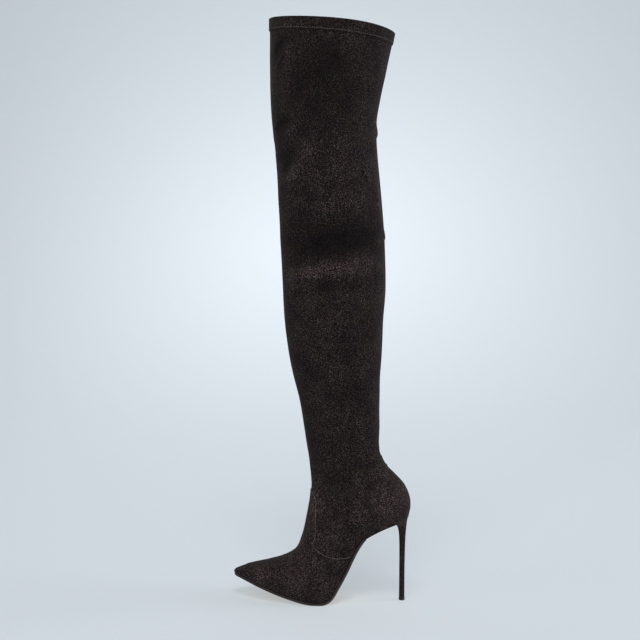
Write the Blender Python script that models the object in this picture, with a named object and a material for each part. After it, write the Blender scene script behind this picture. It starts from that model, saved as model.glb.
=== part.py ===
"""A thigh high stiletto boot of stretch suede, for the left foot, in metres with +Z up.

The toe points to -X and the outer side of the foot to -Y. The floor is Z = 0, and the origin is
the middle of the flat spot that the forefoot treads on. The foot and the shaft are one hollow form.
It is lofted through a fan of sections: each section runs from a point on the ridge, the line down
the front of the shaft and over the instep to the toe, to a point on the bottom line, which is the
feather line of the sole and behind the heel becomes the back seam.
"""

import math

import bmesh
import bpy
import numpy as np

# Sizes of the whole boot
FOOT_LENGTH = 0.2276  # level, from the tip of the toe to the back of the heel
TOE_TO_TREAD = 0.1120  # level, from the tip of the toe to the middle of the tread
BALL_WIDTH = 0.0790
INSTEP_HEIGHT = 0.1420
TOE_SPRING = 0.0265
HEEL_HEIGHT = 0.1089  # from the floor to the feather line at the back of the seat
COUNTER_HEIGHT = 0.0770  # from there up to the notch at the back of the ankle
BOOT_HEIGHT = 0.7315  # the collar at the front
COLLAR_DROP = 0.0175  # how far the collar falls from front to back
SHAFT_AXIS = 0.1280  # level, from the tip of the toe to the middle of the leg
CALF_DEPTH = 0.1296
CALF_WIDTH = 0.1100

# Leather, board and clearances
WALL = 0.0015
HEM_HEIGHT = 0.0120
HEM_STEP = 0.0011
VAMP_STEP = 0.0008
VAMP_ROOT = 0.0007  # how deep the vamp's edge is set into the wall
VAMP_HEM = 0.0006  # the vamp stops this far above the feather line
OUTSOLE = 0.0032
OUTSOLE_INSET = 0.0009
INSOLE = 0.0022
JOINT_GAP = 0.0003
INSOLE_GAP = 0.0009  # between the insole's edge and the inside of the wall
SEAT_GAP = 0.0005  # between the heel's seat and the feather line

# Heel
HEEL_FRONT = 0.1700  # level, from the tip of the toe to the front edge of the heel seat
STEM_DEPTH = 0.0069
STEM_WIDTH = 0.0084
TIP_HEIGHT = 0.0045
TIP_DEPTH = 0.0075
TIP_WIDTH = 0.0090

SOLE_STACK = OUTSOLE + JOINT_GAP
HEEL_RISE = HEEL_HEIGHT - SOLE_STACK

# How finely the forms are cut into faces
STEPS_PER_ROW = 2
HALF_AROUND = 14

# The feather line, from the tip of the toe to the back of the seat.
# along: share of FOOT_LENGTH. spring: share of TOE_SPRING. rise: share of HEEL_RISE.
FEATHER = (
    # along, spring, rise
    (0.0000, 1.000, 0.000),
    (0.0044, 0.995, 0.000),
    (0.0176, 0.970, 0.000),
    (0.0440, 0.912, 0.000),
    (0.0880, 0.805, 0.000),
    (0.1495, 0.645, 0.000),
    (0.2285, 0.445, 0.000),
    (0.3165, 0.248, 0.000),
    (0.3955, 0.085, 0.000),
    (0.4570, 0.000, 0.000),
    (0.5140, 0.000, 0.000),
    (0.5580, 0.000, 0.045),
    (0.5975, 0.000, 0.180),
    (0.6415, 0.000, 0.356),
    (0.6915, 0.000, 0.585),
    (0.7425, 0.000, 0.757),
    (0.8040, 0.000, 0.870),
    (0.8745, 0.000, 0.940),
    (0.9300, 0.000, 0.974),
    (0.9655, 0.000, 0.989),
    (0.9840, 0.000, 0.997),
    (0.9900, 0.000, 1.000),
)
CLOSE_ROW = len(FEATHER) - 1

# The back line, from the back of the seat up to the notch of the ankle.
BACK = (
    # along, share of COUNTER_HEIGHT above the seat
    (0.9900, 0.000),
    (0.9938, 0.070),
    (0.9996, 0.180),
    (0.9925, 0.350),
    (0.9620, 0.550),
    (0.9070, 0.725),
    (0.8570, 0.880),
)

# The ridge, and the breadth of each section of the foot. Lengths along are shares of FOOT_LENGTH,
# heights are shares of INSTEP_HEIGHT, and breadths to each side are shares of BALL_WIDTH.
FOOT = (
    # ridge along, ridge up, ridge in, feather out, feather in, body out, body in, belly, crown
    (0.0000, 0.213, 0.101, 0.000, 0.000, 0.000, 0.000, 0.30, 2.10),
    (0.0022, 0.229, 0.101, 0.054, 0.054, 0.060, 0.060, 0.30, 2.10),
    (0.0105, 0.239, 0.100, 0.104, 0.100, 0.113, 0.109, 0.30, 2.10),
    (0.0330, 0.255, 0.097, 0.155, 0.142, 0.166, 0.154, 0.30, 2.10),
    (0.0747, 0.275, 0.089, 0.225, 0.211, 0.238, 0.225, 0.30, 2.12),
    (0.1340, 0.300, 0.073, 0.308, 0.295, 0.323, 0.311, 0.30, 2.15),
    (0.2020, 0.331, 0.056, 0.386, 0.371, 0.404, 0.390, 0.29, 2.15),
    (0.2660, 0.364, 0.041, 0.451, 0.413, 0.471, 0.435, 0.27, 2.12),
    (0.3165, 0.403, 0.034, 0.487, 0.424, 0.510, 0.451, 0.27, 2.08),
    (0.3510, 0.442, 0.034, 0.500, 0.418, 0.522, 0.448, 0.28, 2.04),
    (0.3735, 0.486, 0.038, 0.499, 0.380, 0.519, 0.430, 0.31, 2.00),
    (0.3875, 0.546, 0.038, 0.468, 0.323, 0.499, 0.408, 0.36, 1.96),
    (0.3990, 0.602, 0.035, 0.418, 0.272, 0.471, 0.387, 0.41, 1.93),
    (0.4086, 0.665, 0.030, 0.361, 0.227, 0.441, 0.375, 0.44, 1.90),
    (0.4174, 0.736, 0.025, 0.311, 0.200, 0.413, 0.367, 0.44, 1.90),
    (0.4253, 0.799, 0.019, 0.286, 0.208, 0.392, 0.362, 0.42, 1.90),
    (0.4323, 0.859, 0.013, 0.286, 0.248, 0.380, 0.359, 0.36, 1.90),
    (0.4380, 0.915, 0.006, 0.296, 0.294, 0.375, 0.362, 0.30, 1.90),
    (0.4411, 0.965, 0.003, 0.278, 0.281, 0.372, 0.365, 0.26, 1.90),
    (0.4433, 1.004, 0.000, 0.196, 0.199, 0.372, 0.367, 0.25, 1.90),
    (0.4446, 1.032, 0.000, 0.095, 0.096, 0.373, 0.370, 0.25, 1.90),
    (0.4451, 1.056, 0.000, 0.000, 0.000, 0.375, 0.371, 0.25, 1.90),
    (0.4442, 1.088, 0.000, 0.000, 0.000, 0.377, 0.373, 0.26, 1.91),
    (0.4429, 1.123, 0.000, 0.000, 0.000, 0.380, 0.377, 0.28, 1.92),
    (0.4411, 1.162, 0.000, 0.000, 0.000, 0.385, 0.382, 0.31, 1.94),
    (0.4380, 1.208, 0.000, 0.000, 0.000, 0.392, 0.391, 0.36, 1.96),
    (0.4341, 1.264, 0.000, 0.000, 0.000, 0.403, 0.403, 0.42, 1.98),
    (0.4288, 1.327, 0.000, 0.000, 0.000, 0.413, 0.413, 0.47, 2.00),
)

# The leg. up: share of the way from the ankle to the collar. front, back: shares of CALF_DEPTH
# from SHAFT_AXIS. half: share of CALF_WIDTH. belly: where the section is widest, from the back.
LEG = (
    # up, front, back, half, belly
    (0.022, -0.2510, 0.4580, 0.301, 0.49),
    (0.080, -0.2880, 0.4590, 0.311, 0.49),
    (0.135, -0.3295, 0.4600, 0.338, 0.47),
    (0.195, -0.3935, 0.4670, 0.382, 0.46),
    (0.260, -0.4420, 0.4810, 0.427, 0.45),
    (0.333, -0.4722, 0.4905, 0.468, 0.45),
    (0.410, -0.4845, 0.5145, 0.491, 0.45),
    (0.489, -0.5000, 0.5070, 0.500, 0.46),
    (0.580, -0.5230, 0.4820, 0.502, 0.48),
    (0.672, -0.5410, 0.4490, 0.509, 0.50),
    (0.740, -0.5710, 0.4220, 0.527, 0.50),
    (0.795, -0.5895, 0.4180, 0.551, 0.50),
    (0.850, -0.5965, 0.4560, 0.580, 0.50),
    (0.920, -0.5980, 0.5160, 0.612, 0.50),
    (1.000, -0.5970, 0.5830, 0.636, 0.50),
)

# The vamp's edge, seen from the side, from the notch on the instep down to the waist.
VAMP_EDGE = (
    # along as a share of FOOT_LENGTH, up as a share of INSTEP_HEIGHT
    (0.4440, 1.000),
    (0.4600, 0.975),
    (0.4760, 0.935),
    (0.4815, 0.880),
    (0.4815, 0.640),
    (0.4800, 0.585),
    (0.4690, 0.540),
    (0.5050, 0.488),
    (0.5560, 0.449),
    (0.6060, 0.434),
    (0.6600, 0.440),
    (0.6980, 0.462),
)

# The heel below its seat. front, back: shares of FOOT_LENGTH. Heights: shares of HEEL_HEIGHT.
HEEL = (
    # front along, front up, back along, back up, half breadth as a share of BALL_WIDTH, roundness
    (0.7560, 0.770, 0.9865, 0.972, 0.298, 0.10),
    (0.7950, 0.826, 0.9835, 0.950, 0.280, 0.25),
    (0.8400, 0.882, 0.9815, 0.926, 0.238, 0.45),
    (0.8800, 0.914, 0.9797, 0.902, 0.182, 0.65),
    (0.9060, 0.916, 0.9780, 0.876, 0.138, 0.80),
    (0.9240, 0.892, 0.9768, 0.842, 0.106, 0.90),
    (0.9330, 0.845, 0.9752, 0.797, 0.082, 1.00),
    (0.9374, 0.760, 0.9732, 0.733, 0.065, 1.00),
    (0.9392, 0.610, 0.9712, 0.600, 0.056, 1.00),
    (0.9394, 0.400, 0.9696, 0.398, 0.053, 1.00),
)
STEM_CENTRE = 0.9540  # share of FOOT_LENGTH


def spline(values, t):
    """A smooth curve through evenly numbered rows, with each column taken by itself."""
    rows = np.asarray(values, float)
    slopes = np.gradient(rows, axis=0)
    i = int(min(max(math.floor(t), 0), len(rows) - 2))
    f = t - i
    a, b = rows[i], rows[i + 1]
    return (
        (2 * f**3 - 3 * f**2 + 1) * a
        + (f**3 - 2 * f**2 + f) * slopes[i]
        + (3 * f**2 - 2 * f**3) * b
        + (f**3 - f**2) * slopes[i + 1]
    )


def feather_point(t):
    along, spring, rise = spline(FEATHER, t)
    up = max(spring * TOE_SPRING + rise * HEEL_RISE, 0.0)
    return np.array([along * FOOT_LENGTH - TOE_TO_TREAD, SOLE_STACK + up])


def ankle_heights():
    return FOOT[-1][1] * INSTEP_HEIGHT, HEEL_HEIGHT + COUNTER_HEIGHT


def leg_rows():
    """The leg's rows as ridge and back points, half breadth and belly, in metres."""
    front_base, back_base = ankle_heights()
    rows = []
    for up, front, back, half, belly in LEG:
        rows.append(
            (
                SHAFT_AXIS - TOE_TO_TREAD + front * CALF_DEPTH,
                front_base + up * (BOOT_HEIGHT - front_base),
                SHAFT_AXIS - TOE_TO_TREAD + back * CALF_DEPTH,
                back_base + up * (BOOT_HEIGHT - COLLAR_DROP - back_base),
                half * CALF_WIDTH,
                belly,
            )
        )
    return rows


def bottom_rows():
    """The back seam's rows, from the closing of the sole to the collar, in metres."""
    rows = [
        (along * FOOT_LENGTH - TOE_TO_TREAD, HEEL_HEIGHT + up * COUNTER_HEIGHT)
        for along, up in BACK
    ]
    return rows + [(row[2], row[3]) for row in leg_rows()]


def section_rows():
    """The ridge and the breadths of all rows, in metres."""
    rows = []
    for along, up, across, feather_out, feather_in, body_out, body_in, belly, crown in FOOT:
        rows.append(
            (
                along * FOOT_LENGTH - TOE_TO_TREAD,
                up * INSTEP_HEIGHT,
                across * BALL_WIDTH,
                feather_out * BALL_WIDTH,
                feather_in * BALL_WIDTH,
                body_out * BALL_WIDTH,
                body_in * BALL_WIDTH,
                belly,
                crown,
            )
        )
    for front, front_up, _, _, half, belly in leg_rows():
        rows.append((front, front_up, 0.0, 0.0, 0.0, half, half, belly, 2.0))
    return rows


SECTIONS = np.array(section_rows())
SEAM = np.array(bottom_rows())
LAST_ROW = len(SECTIONS) - 1


def bottom_point(t):
    return feather_point(t) if t <= CLOSE_ROW else spline(SEAM, t - CLOSE_ROW)


def ease(x):
    x = min(max(x, 0.0), 1.0)
    return x * x * (3 - 2 * x)


def skin_point(t, v):
    """A point of the upper's outside. v runs from -1, the outer feather, over 0, the ridge, to 1."""
    ridge_x, ridge_z, centre, feather_out, feather_in, body_out, body_in, belly, crown = spline(
        SECTIONS, t
    )
    feather, body = (feather_out, body_out) if v < 0 else (feather_in, body_in)
    if t >= CLOSE_ROW:
        feather = 0.0
    feather = max(feather, 0.0)
    bottom = bottom_point(t)
    share = abs(v)
    split = 0.5 + 0.8 * (0.5 - belly)
    if share <= split:
        angle = share / split * math.pi / 2
        q = belly + (1 - belly) * max(math.cos(angle), 0.0) ** (2 / crown)
        w = body * math.sin(angle) ** (2 / crown)
    else:
        beta = (share - split) / (1 - split)
        openness = ease(feather / max(body, 1e-9) / 0.6)
        tau = (1 - openness) * math.sin(beta * math.pi / 2) + openness * beta
        q = belly * (1 - tau)
        w = feather + (body - feather) * max(1 - tau * tau, 0.0) ** (0.5 + 0.5 * openness)
    x = bottom[0] + q * (ridge_x - bottom[0])
    z = bottom[1] + q * (ridge_z - bottom[1])
    return np.array([x, centre + math.copysign(w, v), z])


def skin_normal(t, v):
    if t < 1e-6:
        return np.array([-1.0, 0.0, 0.0])
    step = 0.02
    t0, t1 = max(t - step, 0.001), min(t + step, LAST_ROW)
    v0, v1 = max(v - step, -1.0), min(v + step, 1.0)
    along = skin_point(t1, v) - skin_point(t0, v)
    across = skin_point(t, v1) - skin_point(t, v0)
    normal = np.cross(along, across)
    return normal / np.linalg.norm(normal)


def skin_ring(t, lift):
    shares = np.linspace(-1.0, 1.0, 2 * HALF_AROUND + 1)
    return [skin_point(t, v) + lift * skin_normal(t, v) for v in shares]


def rows_between(first, last):
    count = int(round((last - first) * STEPS_PER_ROW))
    return [first + (last - first) * i / count for i in range(count + 1)]


def add_rings(bm, rings):
    """Vertices of each ring (row, lift). The tip is one vertex, and behind the heel the ends meet."""
    rows = []
    for t, lift in rings:
        points = skin_ring(t, lift)
        if t == 0:
            rows.append([bm.verts.new(points[0])] * len(points))
            continue
        verts = [bm.verts.new(point) for point in points[:-1]]
        verts.append(verts[0] if t >= CLOSE_ROW else bm.verts.new(points[-1]))
        rows.append(verts)
    return rows


def add_face(bm, corners):
    kept = list(dict.fromkeys(corners))
    if len(kept) > 2:
        bm.faces.new(kept)


def join_rings(bm, rows):
    for low, high in zip(rows, rows[1:]):
        for j in range(len(low) - 1):
            add_face(bm, (low[j], low[j + 1], high[j + 1], high[j]))


def hollow_form(bm, outside, inside):
    """A wall between two lists of rings, closed along the feather line and at the last ring."""
    outer, inner = add_rings(bm, outside), add_rings(bm, inside)
    join_rings(bm, outer)
    join_rings(bm, inner)
    for i, (t, _) in enumerate(inside[:-1]):
        if t < CLOSE_ROW:
            for end in (0, -1):
                add_face(bm, (outer[i][end], outer[i + 1][end], inner[i + 1][end], inner[i][end]))
    for j in range(len(outer[-1]) - 1):
        add_face(bm, (outer[-1][j], outer[-1][j + 1], inner[-1][j + 1], inner[-1][j]))


def finish(bm, name, material):
    bmesh.ops.recalc_face_normals(bm, faces=bm.faces)
    mesh = bpy.data.meshes.new(name)
    bm.to_mesh(mesh)
    bm.free()
    if material:
        mesh.materials.append(material)
    obj = bpy.data.objects.new(name, mesh)
    bpy.context.scene.collection.objects.link(obj)
    return obj


def make_material(name, colour, roughness, metallic=0.0):
    material = bpy.data.materials.new(name)
    material.use_nodes = True
    shader = material.node_tree.nodes["Principled BSDF"]
    shader.inputs["Base Color"].default_value = (*colour, 1.0)
    shader.inputs["Roughness"].default_value = roughness
    shader.inputs["Metallic"].default_value = metallic
    return material


def hem_row():
    """The row of the collar hem's lower edge."""
    leg_top = leg_rows()
    rise = leg_top[-1][1] - leg_top[-2][1]
    return LAST_ROW - HEM_HEIGHT / rise


def make_shell(material):
    hem = hem_row()
    rows = rows_between(0, LAST_ROW - 1)
    body = [(t, 0.0) for t in rows] + [(LAST_ROW - 0.5, 0.0)]
    outside = body + [(hem, 0.0), (hem, HEM_STEP), (LAST_ROW, HEM_STEP)]
    inside = [(t, -WALL) for t in rows] + [(LAST_ROW - 0.5, -WALL), (LAST_ROW, -WALL)]
    bm = bmesh.new()
    hollow_form(bm, outside, inside)
    return finish(bm, "upper", material)


def feather_normal(t):
    """The upward normal of the feather line, in the XZ plane."""
    step = 0.05
    tangent = feather_point(min(t + step, CLOSE_ROW)) - feather_point(max(t - step, 0.0))
    tangent = tangent / np.linalg.norm(tangent)
    return np.array([-tangent[1], tangent[0]])


def vamp_outline():
    edge = [
        (along * FOOT_LENGTH - TOE_TO_TREAD, up * INSTEP_HEIGHT) for along, up in VAMP_EDGE
    ]
    notch = edge[0]
    lower = []
    t = 14.0
    while t >= 0.0:
        lower.append(tuple(feather_point(t) + VAMP_HEM * feather_normal(t)))
        t -= 0.5
    tip = lower[-1]
    outside = [
        (tip[0] - 0.01, tip[1]),
        (tip[0] - 0.01, notch[1] + 0.05),
        (notch[0] - 0.006, notch[1] + 0.004),
    ]
    return edge + lower + outside


def make_vamp():
    """The vamp as a thicker skin over the foot, cut to its edge by a prism across the boot."""
    top = CLOSE_ROW + 1
    bm = bmesh.new()
    rows = rows_between(0, top)
    hollow_form(bm, [(t, VAMP_STEP) for t in rows], [(t, -VAMP_ROOT) for t in rows])
    vamp = finish(bm, "vamp_skin", None)
    prism = make_prism("vamp_outline", vamp_outline(), BALL_WIDTH)
    cut(vamp, prism, "INTERSECT")
    hide(vamp)
    return vamp


def make_prism(name, outline, reach):
    bm = bmesh.new()
    near = [bm.verts.new((x, -reach, z)) for x, z in outline]
    far = [bm.verts.new((x, reach, z)) for x, z in outline]
    bm.faces.new(near)
    bm.faces.new(far)
    for i in range(len(outline)):
        k = (i + 1) % len(outline)
        bm.faces.new((near[i], near[k], far[k], far[i]))
    prism = finish(bm, name, None)
    hide(prism)
    return prism


def hide(obj):
    obj.hide_render = True
    obj.display_type = "WIRE"


def cut(obj, other, operation):
    modifier = obj.modifiers.new(other.name, "BOOLEAN")
    modifier.operation = operation
    modifier.solver = "EXACT"
    modifier.object = other


def sole_line(last):
    """Rows of the feather line with their length along it, from the tip of the toe."""
    rows = rows_between(0, last)
    fine = [rows[0]]
    for a, b in zip(rows, rows[1:]):
        fine += [a + (b - a) * k / 8 for k in range(1, 9)]
    points = [feather_point(t) for t in fine]
    lengths = [0.0]
    for a, b in zip(points, points[1:]):
        lengths.append(lengths[-1] + float(np.linalg.norm(b - a)))
    return rows, fine, lengths


def feather_sides(t):
    _, _, centre, feather_out, feather_in, *_ = spline(SECTIONS, t)
    if t in (0.0, CLOSE_ROW):
        return centre, centre
    return centre - feather_out, centre + feather_in


def sole_outline(first, last, inset):
    """Pairs of points (length, across) along both sides of the sole, moved in by the inset."""
    rows, fine, lengths = sole_line(CLOSE_ROW)
    chosen = [t for t in rows if first < t < last]
    chosen = [first] + chosen + [last]
    length_of = {t: float(np.interp(t, fine, lengths)) for t in chosen}
    outer = [(length_of[t], feather_sides(t)[0]) for t in chosen]
    inner = [(length_of[t], feather_sides(t)[1]) for t in chosen]
    closed_tip, closed_end = first == 0.0, last == CLOSE_ROW
    loop = outer[::-1] + (inner[1:] if closed_tip else inner)
    if closed_end:
        loop = loop[:-1]
    count = len(loop)
    moved = []
    for i, point in enumerate(loop):
        if closed_end:
            before, after = loop[(i - 1) % count], loop[(i + 1) % count]
        else:
            before, after = loop[max(i - 1, 0)], loop[min(i + 1, count - 1)]
        tangent = np.subtract(after, before)
        tangent = tangent / np.linalg.norm(tangent)
        moved.append(np.array(point) + inset * np.array([tangent[1], -tangent[0]]))
    n = len(chosen)
    outer = moved[:n][::-1]
    inner = ([outer[0]] if closed_tip else []) + moved[n:]
    if closed_end:
        inner.append(outer[-1])
    return outer, inner


def on_sole(length, across, depth):
    """A point at a length along the feather line and a depth above it, along its normal."""
    _, fine, lengths = sole_line(CLOSE_ROW)
    t = float(np.interp(length, lengths, fine))
    x, z = feather_point(t) + depth * feather_normal(t)
    return (x, across, z)


def make_plate(name, material, first, last, inset, low, high):
    """A bent plate between two depths off the feather line, with the sole's outline."""
    outer, inner = sole_outline(first, last, inset)
    bm = bmesh.new()
    layers = []
    for depth in (low, high):
        left = [bm.verts.new(on_sole(*point, depth)) for point in outer]
        right = [
            left[i] if point is outer[i] else bm.verts.new(on_sole(*point, depth))
            for i, point in enumerate(inner)
        ]
        layers.append((left, right))
    for left, right in layers:
        for i in range(len(left) - 1):
            add_face(bm, (left[i], left[i + 1], right[i + 1], right[i]))
    for side in (0, 1):
        below, above = layers[0][side], layers[1][side]
        for i in range(len(below) - 1):
            add_face(bm, (below[i], below[i + 1], above[i + 1], above[i]))
    for end in (0, -1):
        (low_left, low_right), (high_left, high_right) = layers
        if low_left[end] is not low_right[end]:
            add_face(bm, (low_left[end], low_right[end], high_right[end], high_left[end]))
    return finish(bm, name, material)


def row_at(along):
    """The row where the feather line is this far back from the tip of the toe."""
    low, high = 0.0, float(CLOSE_ROW)
    for _ in range(40):
        middle = (low + high) / 2
        if feather_point(middle)[0] + TOE_TO_TREAD < along:
            low = middle
        else:
            high = middle
    return (low + high) / 2


def seat_loop():
    """The seat's outline as a ring, front edge first, then back along the inner side."""
    first = row_at(HEEL_FRONT + JOINT_GAP / 2)
    outer, inner = sole_outline(first, CLOSE_ROW, 0.0)
    front = [np.array(outer[0]) + (np.array(inner[0]) - outer[0]) * k / 4 for k in (1, 2, 3)]
    loop = [outer[0]] + front + list(inner) + list(outer[-2:0:-1])
    return [on_sole(*point, -SEAT_GAP) for point in loop]


def heel_ring(seat, front, back, half, roundness):
    """The seat's outline mapped between a front and a back point, and rounded towards an ellipse."""
    seat = np.array(seat)
    low, high = seat[:, 0].min(), seat[:, 0].max()
    widest = np.abs(seat[:, 1]).max()
    ring = []
    for x, y, _ in seat:
        u, v = 2 * (x - low) / (high - low) - 1, y / widest
        angle = math.atan2(v, u)
        u = (1 - roundness) * u + roundness * math.cos(angle)
        v = (1 - roundness) * v + roundness * math.sin(angle)
        share = (u + 1) / 2
        ring.append(
            (
                front[0] + share * (back[0] - front[0]),
                v * half,
                front[1] + share * (back[1] - front[1]),
            )
        )
    return ring


def loft(name, material, rings):
    bm = bmesh.new()
    rows = [[bm.verts.new(point) for point in ring] for ring in rings]
    for high, low in zip(rows, rows[1:]):
        for i in range(len(high)):
            k = (i + 1) % len(high)
            bm.faces.new((high[i], high[k], low[k], low[i]))
    bm.faces.new(rows[-1])
    return bm, rows[0]


def make_heel(material):
    seat = seat_loop()
    rings = [seat]
    for front, front_up, back, back_up, half, roundness in HEEL:
        rings.append(
            heel_ring(
                seat,
                (front * FOOT_LENGTH - TOE_TO_TREAD, front_up * HEEL_HEIGHT),
                (back * FOOT_LENGTH - TOE_TO_TREAD, back_up * HEEL_HEIGHT),
                half * BALL_WIDTH,
                roundness,
            )
        )
    centre = STEM_CENTRE * FOOT_LENGTH - TOE_TO_TREAD
    foot = TIP_HEIGHT + JOINT_GAP
    rings.append(
        heel_ring(
            seat,
            (centre - STEM_DEPTH / 2, foot),
            (centre + STEM_DEPTH / 2, foot),
            STEM_WIDTH / 2,
            1.0,
        )
    )
    bm, top = loft("heel", material, rings)
    close_seat(bm, top)
    return finish(bm, "heel", material)


def close_seat(bm, ring):
    """Covers the seat with strips across, from its front edge to its back point."""
    inner = ring[4:]
    back = len(inner) // 2
    right = inner[: back + 1]
    left = [ring[0]] + inner[: back : -1]
    left.append(inner[back])
    bm.faces.new(ring[:5] + [right[1], left[1]])
    for i in range(1, back):
        add_face(bm, (left[i], left[i + 1], right[i + 1], right[i]))


def make_tip(material):
    centre = STEM_CENTRE * FOOT_LENGTH - TOE_TO_TREAD
    around = 24
    rings = []
    for up, depth, width in (
        (TIP_HEIGHT, STEM_DEPTH, STEM_WIDTH),
        (TIP_HEIGHT * 0.55, TIP_DEPTH, TIP_WIDTH),
        (0.0, TIP_DEPTH, TIP_WIDTH),
    ):
        rings.append(
            [
                (
                    centre + depth / 2 * math.cos(2 * math.pi * k / around),
                    width / 2 * math.sin(2 * math.pi * k / around),
                    up,
                )
                for k in range(around)
            ]
        )
    bm, top = loft("heel_tip", material, rings)
    bm.faces.new(top)
    return finish(bm, "heel_tip", material)


def main():
    for obj in list(bpy.data.objects):
        bpy.data.objects.remove(obj, do_unlink=True)
    suede = make_material("dark_brown_suede", (0.016, 0.012, 0.012), 0.95)
    leather = make_material("black_sole_leather", (0.012, 0.011, 0.011), 0.45)
    sock = make_material("black_sock_lining", (0.020, 0.017, 0.016), 0.75)
    rubber = make_material("black_top_piece_rubber", (0.010, 0.010, 0.010), 0.60)

    upper = make_shell(suede)
    cut(upper, make_vamp(), "UNION")
    heel_row = row_at(HEEL_FRONT - JOINT_GAP / 2)
    below = -JOINT_GAP
    make_plate("outsole", leather, 0.0, heel_row, OUTSOLE_INSET, below - OUTSOLE, below)
    make_plate("insole", sock, 0.0, CLOSE_ROW, WALL + INSOLE_GAP, 0.0, INSOLE)
    make_heel(suede)
    make_tip(rubber)


main()
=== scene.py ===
"""A thigh high stiletto boot of stretch suede, for the left foot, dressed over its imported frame.

The toe points to -X, the outer side of the foot to -Y, and the floor is Z = 0. All lengths are in
metres. The suede is drawn over the same fan of sections as the solid: each runs from a point on the
ridge, the line down the front of the leg and over the instep to the toe, to a point on the bottom
line, which is the feather line of the sole and behind the heel becomes the back seam. A place on the
skin is (t, v): t is the number of the row, 0 at the tip of the toe, and v runs from -1, the outer
bottom line, over 0, the ridge, to 1, the inner bottom line.
"""

import math

import bmesh
import bpy
import numpy as np
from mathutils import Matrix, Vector, noise
from mathutils.bvhtree import BVHTree


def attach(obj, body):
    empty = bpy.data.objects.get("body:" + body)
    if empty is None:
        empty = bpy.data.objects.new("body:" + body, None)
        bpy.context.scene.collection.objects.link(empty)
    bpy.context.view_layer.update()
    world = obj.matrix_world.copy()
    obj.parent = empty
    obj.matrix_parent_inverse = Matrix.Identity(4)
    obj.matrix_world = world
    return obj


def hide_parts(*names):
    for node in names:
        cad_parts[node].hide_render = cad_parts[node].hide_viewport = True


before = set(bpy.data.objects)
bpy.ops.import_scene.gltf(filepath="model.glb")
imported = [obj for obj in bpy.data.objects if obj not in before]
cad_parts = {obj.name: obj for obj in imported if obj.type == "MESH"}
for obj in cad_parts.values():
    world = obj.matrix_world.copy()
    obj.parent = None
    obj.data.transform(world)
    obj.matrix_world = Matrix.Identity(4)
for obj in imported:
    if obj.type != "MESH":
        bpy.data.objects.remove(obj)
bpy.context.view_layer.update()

MM = 0.001

# Sizes of the whole boot
FOOT_LENGTH = 0.2276  # level, from the tip of the toe to the back of the heel
TOE_TO_TREAD = 0.1120  # level, from the tip of the toe to the middle of the tread
BALL_WIDTH = 0.0790
INSTEP_HEIGHT = 0.1420  # at the notch of the vamp's edge
TOE_SPRING = 0.0265  # how far the tip of the sole stands off the floor
HEEL_HEIGHT = 0.1089  # at the back of the seat
COUNTER_HEIGHT = 0.0770  # from the seat up to the ankle's notch
BOOT_HEIGHT = 0.7315  # at the front of the collar
COLLAR_DROP = 0.0175  # how much lower the rim is at the back
COLLAR_CROWN = 0.0030  # how much higher it stands at the sides
SHAFT_AXIS = 0.1280  # level, from the tip of the toe to the middle of the leg
CALF_DEPTH = 0.1296
CALF_WIDTH = 0.1100

# Leather, board and clearances
WALL = 0.0015
HEM_HEIGHT = 0.0146  # how far the turned-over hem reaches down the outside
HEM_STEP = 0.0011  # how far it stands out
VAMP_STEP = 0.0008  # how far the vamp stands out
VAMP_ROOT = 0.0006  # how deep its inner face lies in the skin under it
VAMP_HEM = 0.0006  # from the feather line up to its lower edge
OUTSOLE = 0.0032
OUTSOLE_INSET = 0.0009  # from the feather line in to the sole's edge
INSOLE = 0.0022
JOINT_GAP = 0.0003
INSOLE_GAP = 0.0009
COVER_GAP = 0.0001  # between the heel's cover and the feather line that it is lasted up to

# Heel
HEEL_FRONT = 0.1700  # level, from the tip of the toe
HEEL_ARCH = 0.0028  # how far the cup's lower edge bows up between its front and the stem
ARCHED_ROWS = 6  # rows of HEEL over which that bow fades out
STEM_DEPTH = 0.0069
STEM_WIDTH = 0.0084
STEM_CENTRE = 0.9540  # share of FOOT_LENGTH
TIP_HEIGHT = 0.0045
TIP_DEPTH = 0.0075
TIP_WIDTH = 0.0090

STEM_X = STEM_CENTRE * FOOT_LENGTH - TOE_TO_TREAD
SOLE_STACK = OUTSOLE + JOINT_GAP
HEEL_RISE = HEEL_HEIGHT - SOLE_STACK

# The feather line, from the tip of the toe to the back of the seat.
# along: share of FOOT_LENGTH. spring: share of TOE_SPRING. rise: share of HEEL_RISE.
FEATHER = (
    # along, spring, rise
    (0.0000, 1.000, 0.000),
    (0.0044, 0.995, 0.000),
    (0.0176, 0.970, 0.000),
    (0.0440, 0.912, 0.000),
    (0.0880, 0.805, 0.000),
    (0.1495, 0.645, 0.000),
    (0.2285, 0.445, 0.000),
    (0.3165, 0.248, 0.000),
    (0.3955, 0.085, 0.000),
    (0.4570, 0.000, 0.000),
    (0.5140, 0.000, 0.000),
    (0.5580, 0.000, 0.045),
    (0.5975, 0.000, 0.180),
    (0.6415, 0.000, 0.356),
    (0.6915, 0.000, 0.585),
    (0.7425, 0.000, 0.757),
    (0.8040, 0.000, 0.870),
    (0.8745, 0.000, 0.940),
    (0.9300, 0.000, 0.974),
    (0.9655, 0.000, 0.989),
    (0.9840, 0.000, 0.997),
    (0.9900, 0.000, 1.000),
)
CLOSE_ROW = len(FEATHER) - 1

# The back line, from the back of the seat up to the notch of the ankle.
BACK = (
    # along, share of COUNTER_HEIGHT above the seat
    (0.9900, 0.000),
    (0.9938, 0.070),
    (0.9996, 0.180),
    (0.9925, 0.350),
    (0.9620, 0.550),
    (0.9070, 0.725),
    (0.8570, 0.880),
)

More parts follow.
